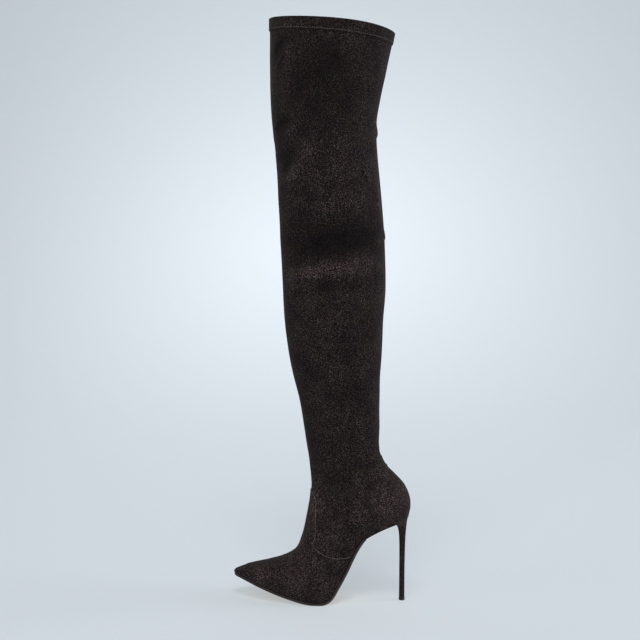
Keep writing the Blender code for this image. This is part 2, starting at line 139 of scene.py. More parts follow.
# The ridge, and the breadth of each section of the foot. Lengths along are shares of FOOT_LENGTH,
# heights are shares of INSTEP_HEIGHT, and breadths to each side are shares of BALL_WIDTH.
FOOT = (
    # ridge along, ridge up, ridge in, feather out, feather in, body out, body in, belly, crown
    (0.0000, 0.213, 0.101, 0.000, 0.000, 0.000, 0.000, 0.30, 2.10),
    (0.0022, 0.229, 0.101, 0.054, 0.054, 0.060, 0.060, 0.30, 2.10),
    (0.0105, 0.239, 0.100, 0.104, 0.100, 0.113, 0.109, 0.30, 2.10),
    (0.0330, 0.255, 0.097, 0.155, 0.142, 0.166, 0.154, 0.30, 2.10),
    (0.0747, 0.275, 0.089, 0.225, 0.211, 0.238, 0.225, 0.30, 2.12),
    (0.1340, 0.300, 0.073, 0.308, 0.295, 0.323, 0.311, 0.30, 2.15),
    (0.2020, 0.331, 0.056, 0.386, 0.371, 0.404, 0.390, 0.29, 2.15),
    (0.2660, 0.364, 0.041, 0.451, 0.413, 0.471, 0.435, 0.27, 2.12),
    (0.3165, 0.403, 0.034, 0.487, 0.424, 0.510, 0.451, 0.27, 2.08),
    (0.3510, 0.442, 0.034, 0.500, 0.418, 0.522, 0.448, 0.28, 2.04),
    (0.3735, 0.486, 0.038, 0.499, 0.380, 0.519, 0.430, 0.31, 2.00),
    (0.3875, 0.546, 0.038, 0.468, 0.323, 0.499, 0.408, 0.36, 1.96),
    (0.3990, 0.602, 0.035, 0.418, 0.272, 0.471, 0.387, 0.41, 1.93),
    (0.4086, 0.665, 0.030, 0.361, 0.227, 0.441, 0.375, 0.44, 1.90),
    (0.4174, 0.736, 0.025, 0.311, 0.200, 0.413, 0.367, 0.44, 1.90),
    (0.4253, 0.799, 0.019, 0.286, 0.208, 0.392, 0.362, 0.42, 1.90),
    (0.4323, 0.859, 0.013, 0.286, 0.248, 0.380, 0.359, 0.36, 1.90),
    (0.4380, 0.915, 0.006, 0.296, 0.294, 0.375, 0.362, 0.30, 1.90),
    (0.4411, 0.965, 0.003, 0.278, 0.281, 0.372, 0.365, 0.26, 1.90),
    (0.4433, 1.004, 0.000, 0.196, 0.199, 0.372, 0.367, 0.25, 1.90),
    (0.4446, 1.032, 0.000, 0.095, 0.096, 0.373, 0.370, 0.25, 1.90),
    (0.4451, 1.056, 0.000, 0.000, 0.000, 0.375, 0.371, 0.25, 1.90),
    (0.4442, 1.088, 0.000, 0.000, 0.000, 0.377, 0.373, 0.26, 1.91),
    (0.4429, 1.123, 0.000, 0.000, 0.000, 0.380, 0.377, 0.28, 1.92),
    (0.4411, 1.162, 0.000, 0.000, 0.000, 0.385, 0.382, 0.31, 1.94),
    (0.4380, 1.208, 0.000, 0.000, 0.000, 0.392, 0.391, 0.36, 1.96),
    (0.4341, 1.264, 0.000, 0.000, 0.000, 0.403, 0.403, 0.42, 1.98),
    (0.4288, 1.327, 0.000, 0.000, 0.000, 0.413, 0.413, 0.47, 2.00),
)

# The leg. up: share of the way from the ankle to the collar. front, back: shares of CALF_DEPTH
# from SHAFT_AXIS. half: share of CALF_WIDTH. belly: where the section is widest, from the back.
LEG = (
    # up, front, back, half, belly
    (0.022, -0.2510, 0.4580, 0.301, 0.49),
    (0.080, -0.2880, 0.4590, 0.311, 0.49),
    (0.135, -0.3295, 0.4600, 0.338, 0.47),
    (0.195, -0.3935, 0.4670, 0.382, 0.46),
    (0.260, -0.4420, 0.4810, 0.427, 0.45),
    (0.333, -0.4722, 0.4905, 0.468, 0.45),
    (0.410, -0.4845, 0.5145, 0.491, 0.45),
    (0.489, -0.5000, 0.5070, 0.500, 0.46),
    (0.580, -0.5230, 0.4820, 0.502, 0.48),
    (0.672, -0.5410, 0.4490, 0.509, 0.50),
    (0.740, -0.5710, 0.4220, 0.527, 0.50),
    (0.795, -0.5895, 0.4180, 0.551, 0.50),
    (0.850, -0.5965, 0.4560, 0.580, 0.50),
    (0.920, -0.5980, 0.5160, 0.612, 0.50),
    (1.000, -0.5970, 0.5830, 0.636, 0.50),
)
FIRST_LEG_ROW = len(FOOT)
VAMP_LAST_ROW = 19.3  # just above the notch of the vamp's edge
VAMP_END = 0.0440  # how far behind the tread's middle its edge meets the feather line

# The vamp's edge, seen from the side, from the notch on the instep down to the waist.
VAMP_EDGE = (
    # along as a share of FOOT_LENGTH, up as a share of INSTEP_HEIGHT
    (0.4440, 1.000),
    (0.4600, 0.975),
    (0.4760, 0.935),
    (0.4815, 0.880),
    (0.4815, 0.640),
    (0.4800, 0.585),
    (0.4690, 0.540),
    (0.5050, 0.488),
    (0.5560, 0.449),
    (0.6060, 0.434),
    (0.6600, 0.440),
    (0.6980, 0.462),
)

# The heel below its seat. front, back: shares of FOOT_LENGTH. Heights: shares of HEEL_HEIGHT.
HEEL = (
    # front along, front up, back along, back up, half breadth as a share of BALL_WIDTH, roundness
    (0.7520, 0.756, 0.9865, 0.985, 0.298, 0.10),
    (0.7880, 0.820, 0.9837, 0.965, 0.282, 0.24),
    (0.8280, 0.874, 0.9817, 0.938, 0.248, 0.40),
    (0.8680, 0.908, 0.9800, 0.908, 0.198, 0.60),
    (0.8990, 0.918, 0.9784, 0.880, 0.148, 0.78),
    (0.9200, 0.902, 0.9770, 0.846, 0.109, 0.90),
    (0.9320, 0.848, 0.9753, 0.799, 0.083, 1.00),
    (0.9372, 0.762, 0.9732, 0.735, 0.065, 1.00),
    (0.9392, 0.610, 0.9712, 0.600, 0.056, 1.00),
    (0.9394, 0.400, 0.9696, 0.398, 0.053, 1.00),
)

# Soft folds of the stretched suede. side: -1 outer, 1 inner, 0 both. rise: how far the fold stands
# out, or in where it is below 0, and spread: its half breadth, both in millimetres. Each place on it
# is (share of CALF_DEPTH from SHAFT_AXIS, share of BOOT_HEIGHT), as seen from the side.
FOLDS = (
    # side, rise, spread, places
    (-1, 2.4, 3.0, ((-0.373, 0.9467), (-0.404, 0.9376), (-0.456, 0.9240), (-0.512, 0.9123))),
    (-1, -1.8, 5.0, ((-0.423, 0.9638), (-0.466, 0.9503), (-0.522, 0.9371))),
    (-1, -1.8, 4.5, ((-0.356, 0.8333), (-0.441, 0.8210), (-0.533, 0.8125))),
    (-1, 1.9, 3.8, ((-0.299, 0.8166), (-0.369, 0.8090), (-0.433, 0.7997))),
    (-1, 1.8, 2.5, ((-0.164, 0.8064), (-0.136, 0.7998), (-0.117, 0.7933))),
    (-1, -2.0, 6.0, ((-0.280, 0.7987), (-0.363, 0.7664), (-0.450, 0.7369))),
    (-1, 2.2, 6.0, ((-0.137, 0.7804), (-0.283, 0.7513), (-0.417, 0.7251))),
    (-1, 2.6, 2.1, ((0.322, 0.7563), (0.331, 0.7415), (0.368, 0.7267))),
    (-1, -2.2, 2.4, ((0.290, 0.7560), (0.298, 0.7410), (0.334, 0.7250))),
    (-1, 1.2, 5.0, ((0.421, 0.7235), (0.440, 0.6967), (0.459, 0.6699))),
    (-1, -2.4, 14.0, (
        (-0.394, 0.6009), (-0.179, 0.6108), (0.059, 0.6228), (0.289, 0.6341), (0.478, 0.6429))),
    (-1, 3.0, 9.0, (
        (-0.431, 0.5560), (-0.311, 0.5679), (-0.160, 0.5757), (0.059, 0.5846), (0.290, 0.5901),
        (0.471, 0.5926))),
    (-1, -1.6, 7.0, ((-0.133, 0.5456), (0.030, 0.5529), (0.198, 0.5544), (0.309, 0.5472))),
    (-1, 1.0, 3.5, ((0.417, 0.6269), (0.497, 0.6275))),
    (-1, -1.3, 7.0, ((0.354, 0.5249), (0.317, 0.4998), (0.281, 0.4764))),
    (-1, -1.0, 10.0, ((0.196, 0.4052), (0.242, 0.3600), (0.204, 0.3151))),
    (-1, -1.9, 3.6, ((0.272, 0.2369), (0.367, 0.2448), (0.461, 0.2491))),
    (-1, 1.4, 3.4, ((0.366, 0.2562), (0.450, 0.2589), (0.486, 0.2581))),
    (-1, -1.5, 5.5, ((0.224, 0.2265), (0.166, 0.2140), (0.088, 0.2009))),
    (-1, -1.2, 5.0, ((0.127, 0.1874), (0.167, 0.1791), (0.196, 0.1707))),
    (-1, -0.8, 5.0, ((-0.010, 0.1594), (-0.060, 0.1428), (-0.110, 0.1239))),
    (1, 1.6, 4.5, ((-0.340, 0.9300), (-0.400, 0.9210), (-0.480, 0.9100))),
    (1, -1.4, 5.0, ((-0.400, 0.9480), (-0.460, 0.9390), (-0.510, 0.9330))),
    (1, -1.6, 6.0, ((-0.250, 0.7900), (-0.340, 0.7620), (-0.440, 0.7410))),
    (1, 1.4, 7.0, ((-0.120, 0.7720), (-0.260, 0.7480), (-0.400, 0.7280))),
    (1, 1.2, 5.0, ((0.340, 0.7350), (0.380, 0.7120), (0.430, 0.6900))),
    (1, -2.2, 14.0, (
        (-0.380, 0.6050), (-0.150, 0.6130), (0.080, 0.6200), (0.300, 0.6300), (0.470, 0.6400))),
    (1, 2.6, 9.0, (
        (-0.430, 0.5640), (-0.240, 0.5720), (0.000, 0.5800), (0.240, 0.5880), (0.460, 0.5940))),
    (1, -1.4, 7.0, ((-0.080, 0.5420), (0.080, 0.5500), (0.270, 0.5520))),
    (1, -1.1, 8.0, ((0.340, 0.5100), (0.300, 0.4850), (0.250, 0.4600))),
    (1, -1.7, 4.0, ((0.250, 0.2330), (0.350, 0.2430), (0.450, 0.2490))),
    (1, 1.2, 4.0, ((0.350, 0.2550), (0.440, 0.2600), (0.484, 0.2600))),
    (1, -1.4, 6.0, ((0.200, 0.2200), (0.140, 0.2080), (0.060, 0.1970))),
    # Small swells and dips that show in the outline, at the back and at the front
    (0, 1.2, 6.0, ((0.400, 0.8230), (0.418, 0.8129), (0.420, 0.8020))),
    (0, 0.8, 4.0, ((0.425, 0.7640), (0.430, 0.7560))),
    (0, 0.9, 5.0, ((0.490, 0.6430), (0.504, 0.6372), (0.500, 0.6310))),
    (0, 0.8, 4.0, ((0.524, 0.2430), (0.536, 0.2404), (0.548, 0.2370))),
    (0, -1.6, 6.5, ((0.455, 0.2680), (0.460, 0.2613), (0.473, 0.2543))),
    (0, -0.9, 6.0, ((-0.570, 0.7960), (-0.564, 0.7849), (-0.570, 0.7740))),
    (0, -0.5, 18.0, ((-0.780, 0.0570), (-0.600, 0.0670), (-0.430, 0.0780), (-0.330, 0.0943))),
    (0, -1.3, 8.0, ((-0.990, 0.0420), (-0.960, 0.0490), (-0.914, 0.0538), (-0.870, 0.0565))),
    # The stiffener of the heel, whose front edge shows through the suede on both sides
    (0, 0.45, 2.0, ((0.524, 0.2421), (0.381, 0.2254), (0.293, 0.2030), (0.184, 0.1740))),
)

# The swells of the slack skin: how far apart they are in metres, and their rise in millimetres
BROAD_SWELL = 0.080
BROAD_RISE = 0.9
SMALL_SWELL = 0.030
SMALL_RISE = 0.35
FOOT_SHARE = 0.25  # the share of them that is left on the foot, which its last keeps smooth

# The back seam, in millimetres: a groove, and a lip to each side of it
GROOVE_DEPTH = 0.45
GROOVE_SPREAD = 0.9
LIP_RISE = 0.30
LIP_PLACE = 2.2
LIP_SPREAD = 1.2

# How light the suede is made, in shares of its lightness as dyed: painted shade and painted
# highlights
LEG_PAINTED_SHADE = 0.24  # painted shade: the leg is made darker than the foot, which catches more of the floor's light
FEATHER_PAINTED_SHADE = 0.50  # painted shade along the groove where the upper meets the sole
FEATHER_REACH = 0.0020
RIDGE_PAINTED_LIGHT = 0.46  # painted highlight: a millimetre of fold lightens the colour by this much
RIDGE_LIMIT = 0.04  # and less on a high fold
# painted shade: a millimetre of dip darkens the colour by this much
DIP_PAINTED_SHADE = 0.18

# Patches where the suede is made lighter or darker: partly brushed nap, and partly painted light and
# shade, such as the lighter heel counter, vamp and knee, the darker middle of the thigh and the
# painted sheen down the back edge. side as above. light: what it adds to the suede's lightness, as a
# share. Each place is as in FOLDS, and the reaches are in millimetres.
NAP_AND_PAINTED_LIGHT_PATCHES = (
    # side, light, place, reach along, reach up
    (0, -0.42, (-0.03, 0.895), 40, 55),
    (0, 0.22, (-0.02, 0.770), 45, 30),
    (0, 0.15, (0.10, 0.690), 55, 20),
    (0, -0.34, (0.00, 0.640), 80, 24),
    (0, 0.10, (0.10, 0.538), 50, 14),
    (0, 0.12, (-0.05, 0.490), 45, 30),
    (0, 0.08, (0.05, 0.390), 40, 45),
    (0, -0.22, (0.05, 0.200), 22, 26),
    (0, 0.50, (0.38, 0.186), 22, 24),
    (0, 0.42, (0.62, 0.186), 24, 26),
    (0, 0.60, (0.64, 0.147), 22, 14),
    (0, 0.50, (-0.17, 0.170), 10, 34),
    (0, 0.20, (-0.12, 0.100), 18, 14),
    (0, 0.42, (-0.34, 0.062), 17, 24),
    (0, -0.18, (-0.49, 0.047), 8, 20),
    (0, 0.12, (-0.09, 0.032), 24, 12),
    (0, 0.60, (-0.75, 0.049), 24, 14),
    (-1, 0.35, (-0.39, 0.930), 8, 12),
    (-1, -0.50, (-0.47, 0.945), 9, 18),
    (-1, -0.40, (-0.47, 0.820), 10, 20),
    (-1, -0.30, (-0.42, 0.765), 8, 14),
    (0, 0.22, (0.47, 0.340), 9, 60),
    (0, 0.16, (0.50, 0.880), 12, 50),
    (1, 0.25, (-0.35, 0.910), 10, 14),
    (1, -0.20, (-0.30, 0.810), 18, 22),
)

# Stitches: their pitch, the length that shows, and the radius of the thread
HEM_STITCH = (0.0030, 0.0022, 0.00030)
VAMP_STITCH = (0.0028, 0.0021, 0.00026)
HEM_STITCH_INSET = 0.0018  # from the hem's lower edge
VAMP_STITCH_INSET = 0.0016  # from the vamp's edge
THREAD_LIFT = 0.0001  # how far a thread's middle lies above the suede

# How finely the skin is cut into faces
AROUND = 216
VAMP_AROUND = 168
FOOT_STEPS = 6  # steps to a row of the foot
LEG_STEPS = 18  # steps to a row of the leg

# The stage: a sheet that is floor and wall in one
SWEEP_WIDTH = 24.0
SWEEP_FRONT = -11.0
SWEEP_BACK = 2.6
SWEEP_BEND = 1.2
SWEEP_HEIGHT = 6.0

# The view, and the lamps round the stage: place, what each is aimed at, sides, watts and colour
VIEW_ROUND = 4.5  # degrees towards the heel
VIEW_DOWN = 5.6
VIEW_PLACE = (0.1281, -1.6136, 0.5176)
LENS = 72.56  # millimetres, over a sensor 36 mm wide
LAMPS = (
    ("key_box", (-0.4, -2.6, 1.6), (0.0, 0.0, 0.30), (1.8, 1.8), 30.0, "#FFFDFB"),
    ("left_box", (-2.0, -0.9, 1.0), (0.0, 0.0, 0.40), (1.0, 2.0), 4.5, "#FBFCFF"),
    ("right_box", (2.2, 0.2, 1.0), (0.0, 0.0, 0.40), (1.0, 2.0), 25.0, "#FBFCFF"),
    ("top_box", (0.1, -1.2, 2.5), (0.0, 0.0, 0.0), (0.8, 0.8), 22.0, "#FFFFFF"),
)


def spline(values, t):
    """A smooth curve through evenly numbered rows, with each column taken by itself."""
    rows = np.asarray(values, float)
    slopes = np.gradient(rows, axis=0)
    t = np.atleast_1d(np.asarray(t, float))
    i = np.clip(np.floor(t).astype(int), 0, len(rows) - 2)
    f = (t - i)[:, None]
    return (
        (2 * f**3 - 3 * f**2 + 1) * rows[i]
        + (f**3 - 2 * f**2 + f) * slopes[i]
        + (3 * f**2 - 2 * f**3) * rows[i + 1]
        + (f**3 - f**2) * slopes[i + 1]
    )


def ease(x):
    """A soft step from 0 to 1."""
    x = np.clip(x, 0.0, 1.0)
    return x * x * (3 - 2 * x)


def feather_line(t):
    """Places (x, z) on the feather line."""
    along, spring, rise = spline(FEATHER, np.clip(t, 0, CLOSE_ROW)).T
    up = np.maximum(spring * TOE_SPRING + rise * HEEL_RISE, 0.0)
    return np.stack([along * FOOT_LENGTH - TOE_TO_TREAD, SOLE_STACK + up], axis=1)


def leg_rows():
    """The leg's rows as ridge and back points, half breadth and belly, in metres."""
    up, front, back, half, belly = np.array(LEG).T
    front_base = FOOT[-1][1] * INSTEP_HEIGHT
    back_base = HEEL_HEIGHT + COUNTER_HEIGHT
    middle = SHAFT_AXIS - TOE_TO_TREAD
    return (
        middle + front * CALF_DEPTH,
        front_base + up * (BOOT_HEIGHT - front_base),
        middle + back * CALF_DEPTH,
        back_base + up * (BOOT_HEIGHT - COLLAR_DROP - back_base),
        half * CALF_WIDTH,
        belly,
    )


def section_table():
    """The ridge and the breadths of all rows, in metres."""
    scale = np.array([FOOT_LENGTH, INSTEP_HEIGHT] + [BALL_WIDTH] * 5 + [1.0, 1.0])
    foot = np.array(FOOT) * scale
    foot[:, 0] -= TOE_TO_TREAD
    front, front_up, _, _, half, belly = leg_rows()
    none = np.zeros(len(front))
    leg = np.stack([front, front_up, none, none, none, half, half, belly, none + 2.0], axis=1)
    return np.concatenate([foot, leg])


def seam_table():
    """The back seam's rows, from the closing of the sole to the collar, in metres."""
    along, up = np.array(BACK).T
    low = np.stack([along * FOOT_LENGTH - TOE_TO_TREAD, HEEL_HEIGHT + up * COUNTER_HEIGHT], axis=1)
    _, _, back, back_up, _, _ = leg_rows()
    return np.concatenate([low, np.stack([back, back_up], axis=1)])


SECTIONS = section_table()
SEAM = seam_table()
LAST_ROW = len(SECTIONS) - 1
RIM_ROW = LAST_ROW - 0.02  # where skin and lining end, inside the fold of the hem


def bottom_line(t):
    """Places (x, z) on the feather line, and from the back of the seat on the back seam."""
    low = feather_line(t)
    high = spline(SEAM, np.maximum(t - CLOSE_ROW, 0.0))
    return np.where((t <= CLOSE_ROW)[:, None], low, high)


def skin(t, v):
    """Places on the upper's outside, as a grid of rows t by places v across.

    A place lies at q of the way from the bottom line to the ridge, and w to the side of it. Above the
    widest place, belly, a half section is a superellipse. Below it, the section closes in a curve to
    the back seam, or turns in flatter to the feather line the more open it is underneath.
    """
    t = np.clip(np.asarray(t, float), 0.0, LAST_ROW)
    columns = spline(SECTIONS, t).T[:, :, None]
    ridge_x, ridge_z, centre, feather_out, feather_in, body_out, body_in, belly, crown = columns
    outer = v[None, :] < 0
    feather = np.maximum(np.where(outer, feather_out, feather_in), 0.0)
    feather = np.where(t[:, None] >= CLOSE_ROW, 0.0, feather)
    body = np.maximum(np.where(outer, body_out, body_in), 1e-9)
    share = np.minimum(np.abs(v), 1.0)[None, :]
    split = 0.5 + 0.8 * (0.5 - belly)
    angle = np.minimum(share / split, 1.0) * math.pi / 2
    high_q = belly + (1 - belly) * np.maximum(np.cos(angle), 0.0) ** (2 / crown)
    high_w = body * np.sin(angle) ** (2 / crown)
    beta = np.clip((share - split) / (1 - split), 0.0, 1.0)
    openness = ease(feather / body / 0.6)
    tau = (1 - openness) * np.sin(beta * math.pi / 2) + openness * beta
    low_q = belly * (1 - tau)
    low_w = feather + (body - feather) * np.maximum(1 - tau**2, 0.0) ** (0.5 + 0.5 * openness)
    q = np.where(share <= split, high_q, low_q)
    w = np.where(share <= split, high_w, low_w)
    bottom = bottom_line(t)[:, :, None]
    x = bottom[:, 0] + q * (ridge_x - bottom[:, 0])
    z = bottom[:, 1] + q * (ridge_z - bottom[:, 1])
    return np.stack([x, centre + np.where(outer, -w, w), z], axis=2)


def skin_normals(t, v):
    """The outward directions at those places."""
    step = 0.02
    along = skin(np.minimum(t + step, LAST_ROW), v) - skin(np.maximum(t - step, 0.001), v)
    across = skin(t, np.minimum(v + step, 1.0)) - skin(t, np.maximum(v - step, -1.0))
    normal = np.cross(along, across)
    length = np.linalg.norm(normal, axis=2, keepdims=True)
    normal = np.where(length > 1e-12, normal / np.maximum(length, 1e-12), (-1.0, 0.0, 0.0))
    closed = t >= CLOSE_ROW
    middle = normal[closed, 0] + normal[closed, -1]
    middle /= np.linalg.norm(middle, axis=1, keepdims=True)
    normal[closed, 0] = middle
    normal[closed, -1] = middle
    return normal


def fold_places(side, places):
    """The places of a fold, which is drawn from the side, laid onto the skin."""
    t = np.arange(0.5, LAST_ROW, 0.05)
    v = side * np.linspace(0.02, 0.98, 97)
    grid = skin(t, v).reshape(-1, 3)
    found = []
    for across, up in places:
        x = SHAFT_AXIS - TOE_TO_TREAD + across * CALF_DEPTH
        distance = (grid[:, 0] - x) ** 2 + (grid[:, 2] - up * BOOT_HEIGHT) ** 2
        found.append(grid[np.argmin(distance)])
    return np.array(found)


def curve_through(points, count):
    """So many places along a smooth curve through the points."""
    return spline(points, np.linspace(0, len(points) - 1, count))


def all_folds():
    """The rise, spread and path of every fold, in metres. One on both sides is two folds."""
    folds = []
    for side, rise, spread, places in FOLDS:
        for this in (-1, 1) if side == 0 else (side,):
            path = curve_through(fold_places(this, places), 6 * len(places))
            folds.append((rise * MM, spread * MM, path))
    return folds


def fold_relief(points):
    """How far the folds lift the skin. Each fades out towards its two ends."""
    relief = np.zeros(points.shape[:-1])
    for rise, spread, path in FOLD_PATHS:
        low, high = path.min(axis=0) - 3 * spread, path.max(axis=0) + 3 * spread
        near = np.all((points > low) & (points < high), axis=-1)
        if not near.any():
            continue
        place = points[near]
        offset = place[:, None, :] - path[None, :, :]
        distance = np.linalg.norm(offset, axis=2)
        nearest = distance.argmin(axis=1)
        share = nearest / (len(path) - 1)
        fade = ease(4 * np.minimum(share, 1 - share) + 0.15)
        relief[near] += rise * fade * np.exp(-((distance.min(axis=1) / spread) ** 2))
    return relief


def nap_with_painted_light(points):
    """How light the suede is made: 0.5 as dyed, with brushed nap patches and painted light and shade
    on top: painted shade on the leg, in the folds' dips and along the sole's joint, and painted
    highlights on the folds' ridges.
    """
    # Painted shade: the leg is made darker than the foot, from 0.10 m up over 0.12 m
    on_leg = ease((points[..., 2] - 0.10) / 0.12)
    light = 1.0 - LEG_PAINTED_SHADE * on_leg
    # Patches of brushed nap and of painted light and shade, among them a painted sheen down the back
    # edge
    for side, strength, (across, up), reach_along, reach_up in NAP_AND_PAINTED_LIGHT_PATCHES:
        x = SHAFT_AXIS - TOE_TO_TREAD + across * CALF_DEPTH
        along = (points[..., 0] - x) / (reach_along * MM)
        above = (points[..., 2] - up * BOOT_HEIGHT) / (reach_up * MM)
        facing = ease(0.5 + side * points[..., 1] / 0.02) if side else 1.0
        light += strength * facing * np.exp(-(along**2) - above**2)
    # Painted highlights on the folds' ridges and painted shade in their dips
    relief = fold_relief(points) / MM
    ridges = RIDGE_PAINTED_LIGHT * relief - RIDGE_LIMIT * relief**2
    light += np.where(relief > 0, ridges, DIP_PAINTED_SHADE * relief)
    # Painted shade along the groove where the upper meets the sole, in front of the heel
    line = feather_line(np.linspace(0.0, row_at(HEEL_FRONT), 300))
    above_line = points[..., 2] - np.interp(points[..., 0], line[:, 0], line[:, 1])
    over_sole = points[..., 0] < HEEL_FRONT - TOE_TO_TREAD
    joint_shade = FEATHER_PAINTED_SHADE * np.exp(-((above_line / FEATHER_REACH) ** 2))
    light -= np.where(over_sole, joint_shade, 0.0)
    return np.clip(0.5 * light, 0.12, 1.0)


def soft_relief(points):
    """The unevenness of a skin that nothing fills: broad swells, with small ones on them."""
    places = [Vector(point) for point in points.reshape(-1, 3)]
    apart = Vector((5.0, 3.0, 1.0))
    broad = np.array([noise.noise(place / BROAD_SWELL) for place in places])
    small = np.array([noise.noise(place / SMALL_SWELL + apart) for place in places])
    relief = (broad * BROAD_RISE + small * SMALL_RISE).reshape(points.shape[:-1]) * MM
    above_foot = ease((points[..., 2] - 0.06) / 0.10)
    return relief * (FOOT_SHARE + (1 - FOOT_SHARE) * above_foot)


def rim_crown(t, v):
    """The collar is cut a little higher at its two sides, most behind the middle of the leg."""
    near_rim = ease(t[:, None] - (LAST_ROW - 1.0))
    around = np.sin(math.pi * np.minimum(np.abs(v), 1.0) ** 1.6) ** 2
    return COLLAR_CROWN * near_rim * around[None, :]


def seam_relief(points, t, v):
    """The back seam: a fine groove between two low lips, where the two halves meet."""
    from_seam = np.abs(points[..., 1]) / MM
    on_back = (np.abs(v)[None, :] > 0.8) & (t[:, None] > CLOSE_ROW + 0.5)
    groove = -GROOVE_DEPTH * np.exp(-((from_seam / GROOVE_SPREAD) ** 2))
    lips = LIP_RISE * np.exp(-(((from_seam - LIP_PLACE) / LIP_SPREAD) ** 2))
    return np.where(on_back, groove + lips, 0.0) * MM


FOLD_PATHS = all_folds()


def across_places(count):
    """Places across the skin, set closer together towards the bottom line and the back seam."""
    u = np.linspace(-1.0, 1.0, count + 1)
    return u + 0.45 * np.sin(math.pi * u) / math.pi


def row_places(first, last, foot_steps, leg_steps):
    """Row numbers from first to last, with so many steps to each row of the foot and the leg."""
    middle = min(max(FIRST_LEG_ROW, first), last)
    foot = np.linspace(first, middle, max(int(round((middle - first) * foot_steps)), 0) + 1)
    leg = np.linspace(middle, last, max(int(round((last - middle) * leg_steps)), 0) + 1)
    return np.concatenate([foot, leg[1:]])


def skin_form(t, v, lift):
    """The skin's places with its folds, lifted by a thickness that may change from row to row."""
    t = np.asarray(t, float)
    points = skin(t, v)
    relief = fold_relief(points) + soft_relief(points) + seam_relief(points, t, v)
    lift = np.broadcast_to(np.asarray(lift, float), t.shape)
    form = points + (relief + lift[:, None])[..., None] * skin_normals(t, v)
    form[..., 2] += rim_crown(t, v)
    return form


def grid_faces(bm, rows):
    """Joins rows of vertices. Behind the heel a row is a ring, and before it a row is open."""
    for i in range(len(rows) - 1):
        low, high = rows[i], rows[i + 1]
        for j in range(len(low) - 1):
            corners = list(dict.fromkeys((low[j], low[j + 1], high[j + 1], high[j])))
            if len(corners) > 2:
                bm.faces.new(corners)


def tube_faces(bm, rings):
    """Joins rings of vertices into a tube."""
    for high, low in zip(rings, rings[1:]):
        for i in range(len(high)):
            k = (i + 1) % len(high)
            bm.faces.new((high[i], high[k], low[k], low[i]))


def grid_rows(bm, points, t):
    """Rows of vertices. The tip of the toe is one vertex, and a closed row ends where it begins."""
    rows = []
    for row, place in zip(points, t):
        if place == 0:
            rows.append([bm.verts.new(row[0])] * len(row))
            continue
        verts = [bm.verts.new(point) for point in row[:-1]]
        verts.append(verts[0] if place >= CLOSE_ROW - 1e-9 else bm.verts.new(row[-1]))
        rows.append(verts)
    return rows


def write_nap_painted_light(piece):
    """Writes the suede's lightness onto the piece's vertices: brushed nap with painted light and
    shade.
    """
    places = np.empty(len(piece.data.vertices) * 3)
    piece.data.vertices.foreach_get("co", places)
    light = piece.data.attributes.new("nap_painted_light", "FLOAT", "POINT")
    light.data.foreach_set("value", nap_with_painted_light(places.reshape(-1, 3)))


def finish(bm, name, material, body="root", smooth=True):
    """Makes the object, with its faces turned outwards, and lets it ride on its body."""
    bmesh.ops.recalc_face_normals(bm, faces=bm.faces)
    closed = all(len(edge.link_faces) == 2 for edge in bm.edges)
    if closed and bm.calc_volume(signed=True) < 0:
        bmesh.ops.reverse_faces(bm, faces=bm.faces)
    mesh = bpy.data.meshes.new(name)
    bm.to_mesh(mesh)
    bm.free()
    mesh.materials.append(material)
    if smooth:
        mesh.shade_smooth()
    obj = bpy.data.objects.new(name, mesh)
    bpy.context.scene.collection.objects.link(obj)
    if body:
        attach(obj, body)
    return obj


def upper_suede(material):
    """The leg and the quarters, from under the vamp to the collar's hem."""
    t = row_places(0.0, RIM_ROW, FOOT_STEPS, LEG_STEPS)
    v = across_places(AROUND)
    bm = bmesh.new()
    grid_faces(bm, grid_rows(bm, skin_form(t, v, 0.0), t))
    piece = finish(bm, "upper_suede", material)
    # Brushed nap with painted light and shade, written onto the vertices
    write_nap_painted_light(piece)
    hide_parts("upper")
    return piece


def lining(material):
    """The inside of the upper, from the feather line up to the folded hem."""
    t = row_places(0.0, RIM_ROW, FOOT_STEPS // 2, LEG_STEPS // 2)
    v = across_places(AROUND // 2)
    bm = bmesh.new()
    grid_faces(bm, grid_rows(bm, skin_form(t, v, -WALL), t))
    piece = finish(bm, "upper_lining", material)
    return piece


def hem_row(height=HEM_HEIGHT):
    """The row that lies this far below the rim of the collar."""
    rise = SECTIONS[-1][1] - SECTIONS[-2][1]
    return LAST_ROW - height / rise


def collar_hem(material):
    """The suede turned over the rim and stitched down, as one rounded band.

    Its profile is (row, lift): up the outside from the lower edge, round the fold, down the inside.
    """
    half = (WALL + HEM_STEP) / 2
    middle = HEM_STEP - half
    profile = [(hem_row(), -0.0004), (hem_row(), HEM_STEP * 0.55)]
    profile += [(hem_row(HEM_HEIGHT - 0.0003), HEM_STEP * 0.9)]
    profile += [(hem_row(HEM_HEIGHT - 0.0008), HEM_STEP)]
    profile += [(hem_row(up * HEM_HEIGHT), HEM_STEP) for up in (0.85, 0.7, 0.55, 0.4, 0.25, 0.15)]
    for angle in np.linspace(0.0, math.pi, 9):
        drop = half * (1 - math.sin(angle))
        profile.append((hem_row(drop), middle + half * math.cos(angle)))
    profile += [(hem_row(up * HEM_HEIGHT), -WALL - 0.0001) for up in (0.25, 0.6, 1.0, 1.3)]
    t = np.array([place for place, _ in profile])
    lift = np.array([height for _, height in profile])
    bm = bmesh.new()
    v = across_places(AROUND)
    grid_faces(bm, grid_rows(bm, skin_form(t, v, lift), t))
    piece = finish(bm, "collar_hem", material)
    # Brushed nap with painted light and shade, written onto the vertices
    write_nap_painted_light(piece)
    return piece


def feather_normals(t):
    """The upward directions (x, z) across the feather line."""
    step = 0.05
    ahead, behind = np.maximum(t - step, 0.0), np.minimum(t + step, CLOSE_ROW)
    tangent = feather_line(behind) - feather_line(ahead)
    tangent /= np.linalg.norm(tangent, axis=1, keepdims=True)
    return np.stack([-tangent[:, 1], tangent[:, 0]], axis=1)


